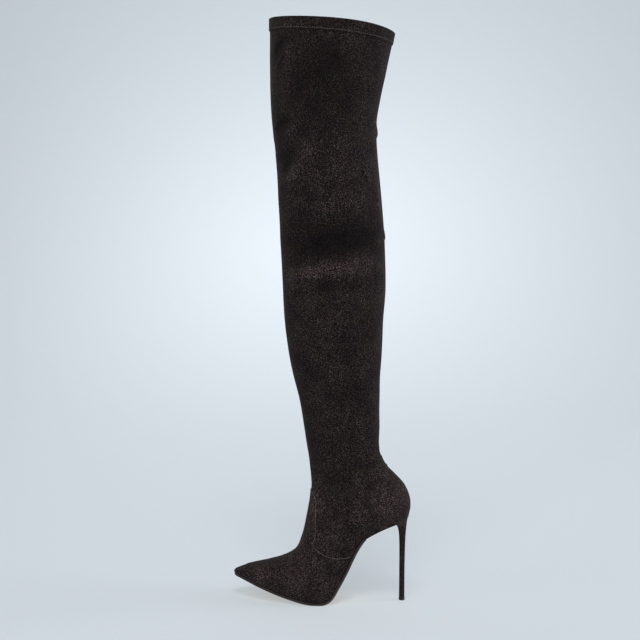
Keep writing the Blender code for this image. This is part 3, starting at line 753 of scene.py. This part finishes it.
def vamp_edge(fineness):
    """The vamp's edge from the side, with rounded turns."""
    points = np.array(VAMP_EDGE) * (FOOT_LENGTH, INSTEP_HEIGHT)
    points[:, 0] -= TOE_TO_TREAD
    return curve_through(points, fineness)


def vamp_outline():
    """The vamp's edge, its lower edge just above the feather line, and three corners in the air."""
    edge = vamp_edge(56)
    t = np.arange(14.0, -0.01, -0.25)
    lower = feather_line(t) + VAMP_HEM * feather_normals(t)
    edge = edge[edge[:, 0] < VAMP_END]
    lower = lower[lower[:, 0] < VAMP_END]
    notch, tip = edge[0], lower[-1]
    front = [
        (tip[0] - 0.01, tip[1]),
        (tip[0] - 0.01, notch[1] + 0.05),
        (notch[0] - 0.006, notch[1] + 0.004),
    ]
    return [tuple(p) for p in edge] + [tuple(p) for p in lower] + front


def outline_cutter():
    """A prism across the boot with the vamp's outline."""
    outline = vamp_outline()
    bm = bmesh.new()
    near = [bm.verts.new((x, -BALL_WIDTH, z)) for x, z in outline]
    far = [bm.verts.new((x, BALL_WIDTH, z)) for x, z in outline]
    bm.faces.new(near)
    bm.faces.new(far)
    for i in range(len(outline)):
        k = (i + 1) % len(outline)
        bm.faces.new((near[i], near[k], far[k], far[i]))
    bmesh.ops.recalc_face_normals(bm, faces=bm.faces)
    mesh = bpy.data.meshes.new("vamp_outline")
    bm.to_mesh(mesh)
    bm.free()
    cutter = bpy.data.objects.new("vamp_outline", mesh)
    bpy.context.scene.collection.objects.link(cutter)
    return cutter


def vamp(material):
    """The vamp: a thicker skin over the foot, cut to its edge by a prism across the boot.

    Its inner face is drawn up towards the outer one at the tip of the toe, where the skin ends.
    """
    t = row_places(0.0, VAMP_LAST_ROW, FOOT_STEPS, LEG_STEPS)
    v = across_places(VAMP_AROUND)
    depth = VAMP_STEP - (VAMP_STEP + VAMP_ROOT) * (0.15 + 0.85 * ease(t))
    bm = bmesh.new()
    outer = grid_rows(bm, skin_form(t, v, VAMP_STEP), t)
    inner = grid_rows(bm, skin_form(t, v, depth), t)
    grid_faces(bm, outer)
    grid_faces(bm, inner)
    for i in range(len(t) - 1):
        for end in (0, -1):
            corners = (outer[i][end], outer[i + 1][end], inner[i + 1][end], inner[i][end])
            bm.faces.new(list(dict.fromkeys(corners)))
    for j in range(len(v) - 1):
        bm.faces.new((outer[-1][j], outer[-1][j + 1], inner[-1][j + 1], inner[-1][j]))
    piece = finish(bm, "vamp", material)
    cutter = outline_cutter()
    trim = piece.modifiers.new("trim", "BOOLEAN")
    trim.operation = "INTERSECT"
    trim.solver = "EXACT"
    trim.object = cutter
    apply_modifiers(piece)
    bpy.data.objects.remove(cutter, do_unlink=True)
    smooth_but_sharp(piece, 50)
    # Brushed nap with painted light and shade, written onto the vertices
    write_nap_painted_light(piece)
    return piece


def apply_modifiers(piece):
    """Gives the piece the mesh that its modifiers make."""
    graph = bpy.context.evaluated_depsgraph_get()
    mesh = bpy.data.meshes.new_from_object(piece.evaluated_get(graph))
    piece.modifiers.clear()
    piece.data = mesh


def surface_of(piece):
    """The piece's faces, for finding where a line meets them."""
    places = [vertex.co for vertex in piece.data.vertices]
    return BVHTree.FromPolygons(places, [face.vertices for face in piece.data.polygons])


def add_stitch(bm, start, end, normal, radius):
    """One thread lying on the surface: a small rounded bead, thicker in its middle."""
    along = (end - start).normalized()
    across = normal.cross(along).normalized()
    profile = ((0.0, 0.35), (0.12, 0.8), (0.35, 1.0), (0.65, 1.0), (0.88, 0.8), (1.0, 0.35))
    rings = []
    for share, size in profile:
        centre = start.lerp(end, share)
        ring = []
        for k in range(6):
            angle = math.pi * k / 3
            offset = across * math.cos(angle) + normal * math.sin(angle) * 0.8
            ring.append(bm.verts.new(centre + offset * radius * size))
        rings.append(ring)
    tube_faces(bm, rings)
    bm.faces.new(rings[0])
    bm.faces.new(rings[-1])


def sew(name, material, paths, pitch, length, radius):
    """Stitches at an even pitch along paths of (place, normal)."""
    bm = bmesh.new()
    for path in paths:
        places = np.array([p for p, _ in path])
        normals = np.array([n for _, n in path])
        run = np.concatenate([[0.0], np.cumsum(np.linalg.norm(np.diff(places, axis=0), axis=1))])
        for k in range(int(run[-1] / pitch)):
            ends = [pitch * k + pitch * 0.1, pitch * k + pitch * 0.1 + length]
            start, end = (Vector([np.interp(s, run, places[:, c]) for c in range(3)]) for s in ends)
            middle = sum(ends) / 2
            normal = Vector([np.interp(middle, run, normals[:, c]) for c in range(3)]).normalized()
            add_stitch(bm, start, end, normal, radius)
    piece = finish(bm, name, material)
    return piece


def hem_stitches(material):
    """One row of thread just above the lower edge of the collar's hem."""
    t = np.array([hem_row(HEM_HEIGHT - HEM_STITCH_INSET)])
    v = np.linspace(-1.0, 1.0, 400)
    points = skin_form(t, v, HEM_STEP + THREAD_LIFT)[0]
    path = list(zip(points, skin_normals(t, v)[0]))
    return sew("hem_stitches", material, [path], *HEM_STITCH)


def vamp_stitches(material, vamp_piece):
    """One row of thread inside the vamp's edge, on both sides."""
    surface = surface_of(vamp_piece)
    edge = vamp_edge(120)
    tangent = np.gradient(edge, axis=0)
    tangent /= np.linalg.norm(tangent, axis=1, keepdims=True)
    inset = edge + VAMP_STITCH_INSET * np.stack([tangent[:, 1], -tangent[:, 0]], axis=1)
    paths = []
    for side in (-1, 1):
        path = []
        for x, z in inset:
            place, normal, _, _ = surface.ray_cast(Vector((x, side * 0.2, z)), Vector((0, -side, 0)))
            if place is not None:
                path.append((place + normal * THREAD_LIFT, normal))
        paths.append(path)
    return sew("vamp_stitches", material, paths, *VAMP_STITCH)


def sole_line():
    """Row numbers close together along the feather line, and its length up to each."""
    t = np.linspace(0.0, CLOSE_ROW, CLOSE_ROW * 24 + 1)
    points = feather_line(t)
    length = np.concatenate([[0.0], np.cumsum(np.linalg.norm(np.diff(points, axis=0), axis=1))])
    return t, length


def row_at(along):
    """The row where the feather line is this far back from the tip of the toe."""
    t = np.linspace(0.0, CLOSE_ROW, 4001)
    return float(np.interp(along, feather_line(t)[:, 0] + TOE_TO_TREAD, t))


def sole_sides(first, last, inset, steps=8):
    """Both sides of the sole as (length, across), moved in by the inset.

    They are joined into one loop first, so that the tip of the toe and the back of the seat move in
    as smoothly as the sides do.
    """
    count = int(math.ceil((last - first) * steps))
    t = np.linspace(first, last, count + 1)
    rows = spline(SECTIONS, t)
    fine, lengths = sole_line()
    length = np.interp(t, fine, lengths)
    centre = rows[:, 2]
    outer = np.stack([length, centre - np.maximum(rows[:, 3], 0.0)], axis=1)
    inner = np.stack([length, centre + np.maximum(rows[:, 4], 0.0)], axis=1)
    if last == CLOSE_ROW:
        outer[-1, 1] = inner[-1, 1] = centre[-1]
    tip, end = first == 0.0, last == CLOSE_ROW
    loop = np.concatenate([outer[::-1], inner[1:] if tip else inner])
    if end:
        loop = loop[:-1]
        before, after = np.roll(loop, 1, axis=0), np.roll(loop, -1, axis=0)
    else:
        before = np.concatenate([loop[:1], loop[:-1]])
        after = np.concatenate([loop[1:], loop[-1:]])
    tangent = after - before
    tangent /= np.linalg.norm(tangent, axis=1, keepdims=True)
    moved = loop + inset * np.stack([tangent[:, 1], -tangent[:, 0]], axis=1)
    n = len(t)
    outer = moved[:n][::-1]
    inner = np.concatenate([outer[:1], moved[n:]]) if tip else moved[n:]
    if end:
        inner = np.concatenate([inner, outer[-1:]])
    return outer, inner


def on_sole(sides, depth):
    """Places at a depth above the feather line, along its normal."""
    fine, lengths = sole_line()
    t = np.interp(sides[:, 0], lengths, fine)
    flat = feather_line(t) + depth * feather_normals(t)
    return np.stack([flat[:, 0], sides[:, 1], flat[:, 1]], axis=1)


def plate(name, materials, first, last, levels):
    """A bent plate with a shaped edge. levels are (depth, inset) from its underside to its top."""
    bm = bmesh.new()
    layers = []
    for depth, inset in levels:
        outer, inner = sole_sides(first, last, inset)
        left = [bm.verts.new(p) for p in on_sole(outer, depth)]
        right = [bm.verts.new(p) for p in on_sole(inner, depth)]
        if first == 0.0:
            bm.verts.remove(right[0])
            right[0] = left[0]
        if last == CLOSE_ROW:
            bm.verts.remove(right[-1])
            right[-1] = left[-1]
        layers.append((left, right))
    for left, right in (layers[0], layers[-1]):
        for i in range(len(left) - 1):
            corners = list(dict.fromkeys((left[i], left[i + 1], right[i + 1], right[i])))
            face = bm.faces.new(corners)
            if left is layers[0][0]:
                face.material_index = len(materials) - 1
    for low, high in zip(layers, layers[1:]):
        for below, above in zip(low, high):
            for i in range(len(below) - 1):
                bm.faces.new((below[i], below[i + 1], above[i + 1], above[i]))
        for end in (0, -1):
            if low[0][end] is not low[1][end]:
                bm.faces.new((low[0][end], low[1][end], high[1][end], high[0][end]))
    piece = finish(bm, name, materials[0], smooth=False)
    for material in materials[1:]:
        piece.data.materials.append(material)
    return piece


def outsole(edge, underside):
    """The thin sole, with rounded corners and a fine groove along the middle of its edge."""
    low, high = -JOINT_GAP - OUTSOLE, -JOINT_GAP
    middle = (low + high) / 2 + 0.0004
    levels = (
        (low, OUTSOLE_INSET + 0.0003),
        (low + 0.0002, OUTSOLE_INSET),
        (low + 0.0006, OUTSOLE_INSET - 0.0002),
        (middle - 0.0004, OUTSOLE_INSET),
        (middle, OUTSOLE_INSET + 0.0005),
        (middle + 0.0004, OUTSOLE_INSET),
        (high - 0.0004, OUTSOLE_INSET),
        (high, OUTSOLE_INSET + 0.0003),
    )
    piece = plate("sole", (edge, underside), 0.0, row_at(HEEL_FRONT - JOINT_GAP / 2), levels)
    smooth_but_sharp(piece, 40)
    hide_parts("outsole")
    return piece


def insole(material):
    """The insole under its sock lining, with a rounded upper edge."""
    edge = WALL + INSOLE_GAP
    levels = (
        (0.0, edge),
        (INSOLE - 0.0004, edge),
        (INSOLE - 0.0001, edge + 0.0002),
        (INSOLE, edge + 0.0006),
    )
    piece = plate("sock", (material,), 0.0, CLOSE_ROW, levels)
    smooth_but_sharp(piece, 40)
    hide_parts("insole")
    return piece


def smooth_but_sharp(piece, degrees):
    """Shades the piece smooth, but keeps the edges that turn more than this."""
    piece.data.shade_smooth()
    piece.data.set_sharp_from_angle(angle=math.radians(degrees))


def seat_loop():
    """The seat's outline as a ring, front edge first, then back along the inner side."""
    first = row_at(HEEL_FRONT + JOINT_GAP / 2)
    outer, inner = sole_sides(first, CLOSE_ROW, 0.0)
    front = [outer[0] + (inner[0] - outer[0]) * k / 12 for k in range(1, 12)]
    loop = np.concatenate([outer[:1], front, inner, outer[-2:0:-1]])
    return on_sole(loop, -COVER_GAP)


def heel_ring(seat, front, back, half, roundness, arch=0.0):
    """The seat's outline between two points, rounded towards an ellipse and arched upwards."""
    low, high = seat[:, 0].min(), seat[:, 0].max()
    u = 2 * (seat[:, 0] - low) / (high - low) - 1
    v = seat[:, 1] / np.abs(seat[:, 1]).max()
    angle = np.arctan2(v, u)
    u = (1 - roundness) * u + roundness * np.cos(angle)
    v = (1 - roundness) * v + roundness * np.sin(angle)
    share = (u + 1) / 2
    return np.stack(
        [
            front[0] + share * (back[0] - front[0]),
            v * half,
            front[1] + share * (back[1] - front[1]) + arch * np.sin(math.pi * share),
        ],
        axis=1,
    )


def heel_cover(material):
    """The heel: a cup under the seat that runs down into a thin stem, covered with suede."""
    seat = seat_loop()
    rings = [seat]
    for row, (front, front_up, back, back_up, half, roundness) in enumerate(HEEL):
        rings.append(
            heel_ring(
                seat,
                (front * FOOT_LENGTH - TOE_TO_TREAD, front_up * HEEL_HEIGHT),
                (back * FOOT_LENGTH - TOE_TO_TREAD, back_up * HEEL_HEIGHT),
                half * BALL_WIDTH,
                roundness,
                HEEL_ARCH * max(0.0, 1.0 - (row / ARCHED_ROWS) ** 2),
            )
        )
    foot = TIP_HEIGHT + JOINT_GAP
    ends = (STEM_X - STEM_DEPTH / 2, foot), (STEM_X + STEM_DEPTH / 2, foot)
    rings.append(heel_ring(seat, *ends, STEM_WIDTH / 2, 1.0))
    flat = np.array(rings).reshape(len(rings), -1)
    fine = curve_through(flat, 6 * (len(rings) - 1) + 1).reshape(-1, len(seat), 3)
    bm = bmesh.new()
    rows = [[bm.verts.new(p) for p in ring] for ring in fine]
    tube_faces(bm, rows)
    bm.faces.new(rows[-1])
    piece = finish(bm, "heel_cover", material)
    smooth_but_sharp(piece, 60)
    # Brushed nap with painted light and shade, written onto the vertices
    write_nap_painted_light(piece)
    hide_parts("heel")
    return piece


def top_piece(material):
    """The small lift under the stem, with a rounded lower edge."""
    profile = (
        # height, size between the stem's and the tread's
        (TIP_HEIGHT, 0.0),
        (TIP_HEIGHT * 0.86, 0.55),
        (TIP_HEIGHT * 0.60, 0.95),
        (TIP_HEIGHT * 0.40, 1.0),
        (TIP_HEIGHT * 0.10, 1.0),
        (TIP_HEIGHT * 0.02, 0.97),
        (0.0, 0.86),
    )
    around = 48
    angles = [2 * math.pi * k / around for k in range(around)]
    bm = bmesh.new()
    rows = []
    for up, share in profile:
        long = (STEM_DEPTH + share * (TIP_DEPTH - STEM_DEPTH)) / 2
        wide = (STEM_WIDTH + share * (TIP_WIDTH - STEM_WIDTH)) / 2
        ring = [(STEM_X + long * math.cos(a), wide * math.sin(a), up) for a in angles]
        rows.append([bm.verts.new(place) for place in ring])
    tube_faces(bm, rows)
    bm.faces.new(rows[0])
    bm.faces.new(rows[-1])
    piece = finish(bm, "top_piece", material)
    smooth_but_sharp(piece, 45)
    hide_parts("heel_tip")
    return piece


def linear(hex_colour):
    """An sRGB hex colour as linear red, green, blue and alpha."""
    channels = [int(hex_colour[i : i + 2], 16) / 255 for i in (1, 3, 5)]
    return (*(c / 12.92 if c <= 0.04045 else ((c + 0.055) / 1.055) ** 2.4 for c in channels), 1.0)


def add_node(material, kind, settings=None, **links):
    """Adds a node, with its settings, and links other nodes' outputs to its inputs by name."""
    tree = material.node_tree
    node = tree.nodes.new(kind)
    for name, value in (settings or {}).items():
        if name in node.inputs and not hasattr(node, name):
            node.inputs[name].default_value = value
        else:
            setattr(node, name, value)
    for name, source in links.items():
        tree.links.new(source, node.inputs[name.replace("_", " ")])
    return node


def new_material(name, **values):
    """A material, and its shader with these values."""
    material = bpy.data.materials.new(name)
    material.use_nodes = True
    shader = material.node_tree.nodes["Principled BSDF"]
    for socket, value in values.items():
        shader.inputs[socket.replace("_", " ")].default_value = value
    return material, shader


def feed(material, shader, **links):
    """Links other nodes' outputs to the shader's inputs by name."""
    for name, source in links.items():
        material.node_tree.links.new(source, shader.inputs[name.replace("_", " ")])
    return material


def grain_scale(size):
    """A noise pattern's scale for grain of this size in millimetres, to the nearest 10."""
    return round(1000 / size, -1)


def band_scale(spacing):
    """A wave pattern's scale for slanting bands so many millimetres apart, to the nearest 10."""
    return round(1000 * 2 * math.pi / (10 * math.sqrt(3) * spacing), -1)


def colour_ramp(material, source, stops):
    """Colours by the value of a pattern. stops are (value, colour)."""
    node = add_node(material, "ShaderNodeValToRGB", Fac=source)
    ramp = node.color_ramp
    ramp.elements[0].position, ramp.elements[0].color = stops[0][0], linear(stops[0][1])
    ramp.elements[1].position, ramp.elements[1].color = stops[-1][0], linear(stops[-1][1])
    for position, colour in stops[1:-1]:
        ramp.elements.new(position).color = linear(colour)
    return node


def multiply(material, first, second):
    """One colour times another."""
    node = add_node(material, "ShaderNodeMix", {"data_type": "RGBA", "blend_type": "MULTIPLY"})
    node.inputs["Factor"].default_value = 1.0
    colours = [socket for socket in node.inputs if socket.type == "RGBA"]
    material.node_tree.links.new(first, colours[0])
    material.node_tree.links.new(second, colours[1])
    return next(socket for socket in node.outputs if socket.type == "RGBA")


def suede(name, shades):
    """Brushed calf suede. Its nap scatters light, glows softly at the edges and never shines."""
    material, shader = new_material(
        name,
        Roughness=0.95,
        Specular_IOR_Level=0.15,
        Sheen_Weight=0.07,
        Sheen_Roughness=0.35,
        Sheen_Tint=linear("#C8B4B4"),
    )
    place = add_node(material, "ShaderNodeTexCoord").outputs["Object"]
    # The tufts of the nap are about 0.3 mm across, and are drawn at 1.05 mm so that they show
    nap = add_node(
        material,
        "ShaderNodeTexNoise",
        {"Scale": grain_scale(1.05), "Detail": 1.5, "Roughness": 0.5},
        Vector=place,
    )
    tufts = colour_ramp(material, nap.outputs["Fac"], shades)
    # Brushing the nap leaves clouds some 25 mm across
    clouds = add_node(
        material,
        "ShaderNodeTexNoise",
        {"Scale": grain_scale(25), "Detail": 3.0, "Roughness": 0.5},
        Vector=place,
    )
    cloud_shades = ((0.32, "#BDB0BC"), (0.50, "#E4DBD9"), (0.68, "#FFFFF8"))
    stroke = colour_ramp(material, clouds.outputs["Fac"], cloud_shades)
    # The vertices' lightness, brushed nap with painted light and shade, is multiplied into the colour
    nap_painted_light = add_node(material, "ShaderNodeAttribute", {"attribute_name": "nap_painted_light"})
    strokes = multiply(material, tufts.outputs["Color"], stroke.outputs["Color"])
    colour = multiply(material, strokes, nap_painted_light.outputs["Color"])
    bump = add_node(
        material,
        "ShaderNodeBump",
        {"Strength": 0.6, "Distance": 0.6 * MM},
        Height=nap.outputs["Fac"],
    )
    return feed(material, shader, Base_Color=colour, Normal=bump.outputs["Normal"])


def brown_suede(name, lightest):
    """Dark brown suede: nearly black between the tufts, and this light on their tips."""
    return suede(name, ((0.36, "#0C0707"), (0.46, "#1F1617"), (0.55, "#3A2F2F"), (0.66, lightest)))


def leather(name, shades, roughness, specular):
    """Vegetable tanned sole leather: fine grain, with softer marks some 14 mm across.

    The grain is about 0.5 mm, and is drawn at 2.4 mm so that it shows.
    """
    material, shader = new_material(name, Specular_IOR_Level=specular)
    place = add_node(material, "ShaderNodeTexCoord").outputs["Object"]
    grain = add_node(
        material,
        "ShaderNodeTexNoise",
        {"Scale": grain_scale(2.4), "Detail": 4.0, "Roughness": 0.6},
        Vector=place,
    )
    marks = add_node(
        material,
        "ShaderNodeTexNoise",
        {"Scale": grain_scale(14), "Detail": 4.0, "Roughness": 0.65},
        Vector=place,
    )
    colour = colour_ramp(material, marks.outputs["Fac"], shades)
    gloss = add_node(
        material,
        "ShaderNodeMapRange",
        {"From Min": 0.3, "From Max": 0.7, "To Min": roughness[0], "To Max": roughness[1]},
        Value=marks.outputs["Fac"],
    )
    bump = add_node(
        material,
        "ShaderNodeBump",
        {"Strength": 0.25, "Distance": 0.3 * MM},
        Height=grain.outputs["Fac"],
    )
    return feed(
        material,
        shader,
        Base_Color=colour.outputs["Color"],
        Roughness=gloss.outputs["Result"],
        Normal=bump.outputs["Normal"],
    )


def inked_edge():
    """The sole's edge: sanded, inked dark brown and waxed, with a low even gloss."""
    shades = ((0.35, "#241C19"), (0.60, "#3C302C"), (0.78, "#5E504A"))
    return leather("sole_edge_inked", shades, (0.36, 0.55), 0.45)


def tanned_sole():
    """The sole's underside: bare tan leather, sanded matt. It throws a little warm light down."""
    shades = ((0.32, "#B0844F"), (0.55, "#C4965D"), (0.75, "#D2A970"))
    return leather("sole_leather_tan", shades, (0.50, 0.70), 0.40)


def knitted_lining():
    """Black nylon tricot: fine wales on the slant, with a soft sheen.

    Real wales are some 0.5 mm apart, and are drawn 2 mm apart so that they show.
    """
    material, shader = new_material(
        "tricot_lining_black", Roughness=0.85, Sheen_Weight=0.2, Sheen_Roughness=0.4
    )
    place = add_node(material, "ShaderNodeTexCoord").outputs["Object"]
    wales = add_node(
        material,
        "ShaderNodeTexWave",
        {
            "wave_type": "BANDS",
            "bands_direction": "DIAGONAL",
            "Scale": band_scale(2.0),
            "Distortion": 1.5,
        },
        Vector=place,
    )
    colour = colour_ramp(material, wales.outputs["Fac"], ((0.2, "#141213"), (0.8, "#262122")))
    bump = add_node(
        material,
        "ShaderNodeBump",
        {"Strength": 0.4, "Distance": 0.3 * MM},
        Height=wales.outputs["Fac"],
    )
    return feed(
        material, shader, Base_Color=colour.outputs["Color"], Normal=bump.outputs["Normal"]
    )


def polyester_thread(name, shades):
    """Twisted polyester thread, a little lighter than the suede, with turns 0.4 mm apart."""
    material, shader = new_material(name, Roughness=0.55, Specular_IOR_Level=0.4)
    place = add_node(material, "ShaderNodeTexCoord").outputs["Object"]
    twist = add_node(
        material,
        "ShaderNodeTexWave",
        {"bands_direction": "DIAGONAL", "Scale": band_scale(0.403)},
        Vector=place,
    )
    colour = colour_ramp(material, twist.outputs["Fac"], shades)
    return feed(material, shader, Base_Color=colour.outputs["Color"])


def moulded_polyurethane():
    """A moulded lift: dense, black and slightly dull, with pits drawn at 0.7 mm so that they show."""
    material, shader = new_material("polyurethane_lift_black", Specular_IOR_Level=0.4)
    place = add_node(material, "ShaderNodeTexCoord").outputs["Object"]
    pits = add_node(
        material,
        "ShaderNodeTexNoise",
        {"Scale": grain_scale(0.715), "Detail": 2.0, "Roughness": 0.5},
        Vector=place,
    )
    colour = colour_ramp(material, pits.outputs["Fac"], ((0.3, "#101010"), (0.7, "#1E1C1C")))
    rough = add_node(
        material,
        "ShaderNodeMapRange",
        {"From Min": 0.3, "From Max": 0.7, "To Min": 0.5, "To Max": 0.7},
        Value=pits.outputs["Fac"],
    )
    bump = add_node(
        material,
        "ShaderNodeBump",
        {"Strength": 0.2, "Distance": 0.2 * MM},
        Height=pits.outputs["Fac"],
    )
    return feed(
        material,
        shader,
        Base_Color=colour.outputs["Color"],
        Roughness=rough.outputs["Result"],
        Normal=bump.outputs["Normal"],
    )


def glowing_acrylic_painted_light():
    """Matt opal acrylic that glows, a painted light that keeps shadows soft. Its colour and glow fade
    from its middle: a painted pool of light.
    """
    # The sheet glows: painted light that keeps the shadows soft
    material, shader = new_material(
        "opal_acrylic_painted_glow", Roughness=0.85, Specular_IOR_Level=0.1, Emission_Strength=1.0
    )
    place = add_node(material, "ShaderNodeTexCoord").outputs["Object"]
    middle = add_node(
        material,
        "ShaderNodeMapping",
        {"Location": (0.10, -0.65, -0.18), "Scale": (0.50, 0.25, 0.61)},
        Vector=place,
    )
    fade = add_node(
        material,
        "ShaderNodeTexGradient",
        {"gradient_type": "QUADRATIC_SPHERE"},
        Vector=middle.outputs["Vector"],
    )
    # Painted pool of light: the sheet is lighter and glows more towards its middle
    glow = colour_ramp(material, fade.outputs["Fac"], ((0.0, "#979DA1"), (1.0, "#C7CDD3")))
    colour = glow.outputs["Color"]
    return feed(material, shader, Base_Color=colour, Emission_Color=colour)


def backdrop():
    """A seamless sheet of pale acrylic: a floor that curves up into a wall behind the boot."""
    profile = [(SWEEP_FRONT, 0.0), (SWEEP_BACK - SWEEP_BEND, 0.0)]
    for k in range(1, 25):
        angle = math.pi / 2 * k / 24
        back = SWEEP_BACK - SWEEP_BEND + SWEEP_BEND * math.sin(angle)
        profile.append((back, SWEEP_BEND - SWEEP_BEND * math.cos(angle)))
    profile.append((SWEEP_BACK, SWEEP_HEIGHT))
    bm = bmesh.new()
    left = [bm.verts.new((-SWEEP_WIDTH / 2, y, z)) for y, z in profile]
    right = [bm.verts.new((SWEEP_WIDTH / 2, y, z)) for y, z in profile]
    for i in range(len(profile) - 1):
        bm.faces.new((left[i], left[i + 1], right[i + 1], right[i]))
    sheet = finish(bm, "acrylic_sweep", glowing_acrylic_painted_light(), body=None)


def area_light(name, place, target, size, power, colour):
    """A soft box that is itself out of the picture."""
    data = bpy.data.lights.new(name, "AREA")
    data.shape = "RECTANGLE"
    data.size, data.size_y = size
    data.energy = power
    data.color = linear(colour)[:3]
    light = bpy.data.objects.new(name, data)
    light.location = place
    light.rotation_euler = (Vector(target) - Vector(place)).to_track_quat("-Z", "Y").to_euler()
    light.visible_camera = False
    bpy.context.scene.collection.objects.link(light)


def lights():
    """Pale daylight all round, and four soft boxes."""
    scene = bpy.context.scene
    world = bpy.data.worlds.new("studio")
    world.use_nodes = True
    background = world.node_tree.nodes["Background"]
    background.inputs["Color"].default_value = linear("#EEF2F4")
    background.inputs["Strength"].default_value = 0.28
    scene.world = world
    scene.view_settings.view_transform = "Standard"
    for lamp in LAMPS:
        area_light(*lamp)


def camera():
    """The photograph's view, from the boot's outer side."""
    data = bpy.data.cameras.new("camera")
    data.lens = LENS
    data.sensor_width = 36.0
    data.shift_x = -0.0011
    data.clip_start = 0.05
    data.clip_end = 30.0
    obj = bpy.data.objects.new("camera", data)
    obj.location = VIEW_PLACE
    obj.rotation_euler = (math.radians(90 - VIEW_DOWN), 0.0, math.radians(VIEW_ROUND))
    bpy.context.scene.collection.objects.link(obj)
    bpy.context.scene.camera = obj


def build_boot():
    """All the pieces, each in its own material."""
    upper = brown_suede("brown_suede", "#7A6D6C")
    heel = brown_suede("brown_suede_heel", "#746766")
    vamp_thread = polyester_thread("polyester_thread_taupe", ((0.2, "#5E5451"), (0.8, "#857A75")))
    hem_thread = polyester_thread("polyester_thread_brown", ((0.2, "#42393A"), (0.8, "#5C5250")))
    tricot = knitted_lining()
    upper_suede(upper)
    collar_hem(upper)
    vamp_stitches(vamp_thread, vamp(upper))
    hem_stitches(hem_thread)
    lining(tricot)
    insole(tricot)
    outsole(inked_edge(), tanned_sole())
    heel_cover(heel)
    top_piece(moulded_polyurethane())


camera()
build_boot()
backdrop()
lights()
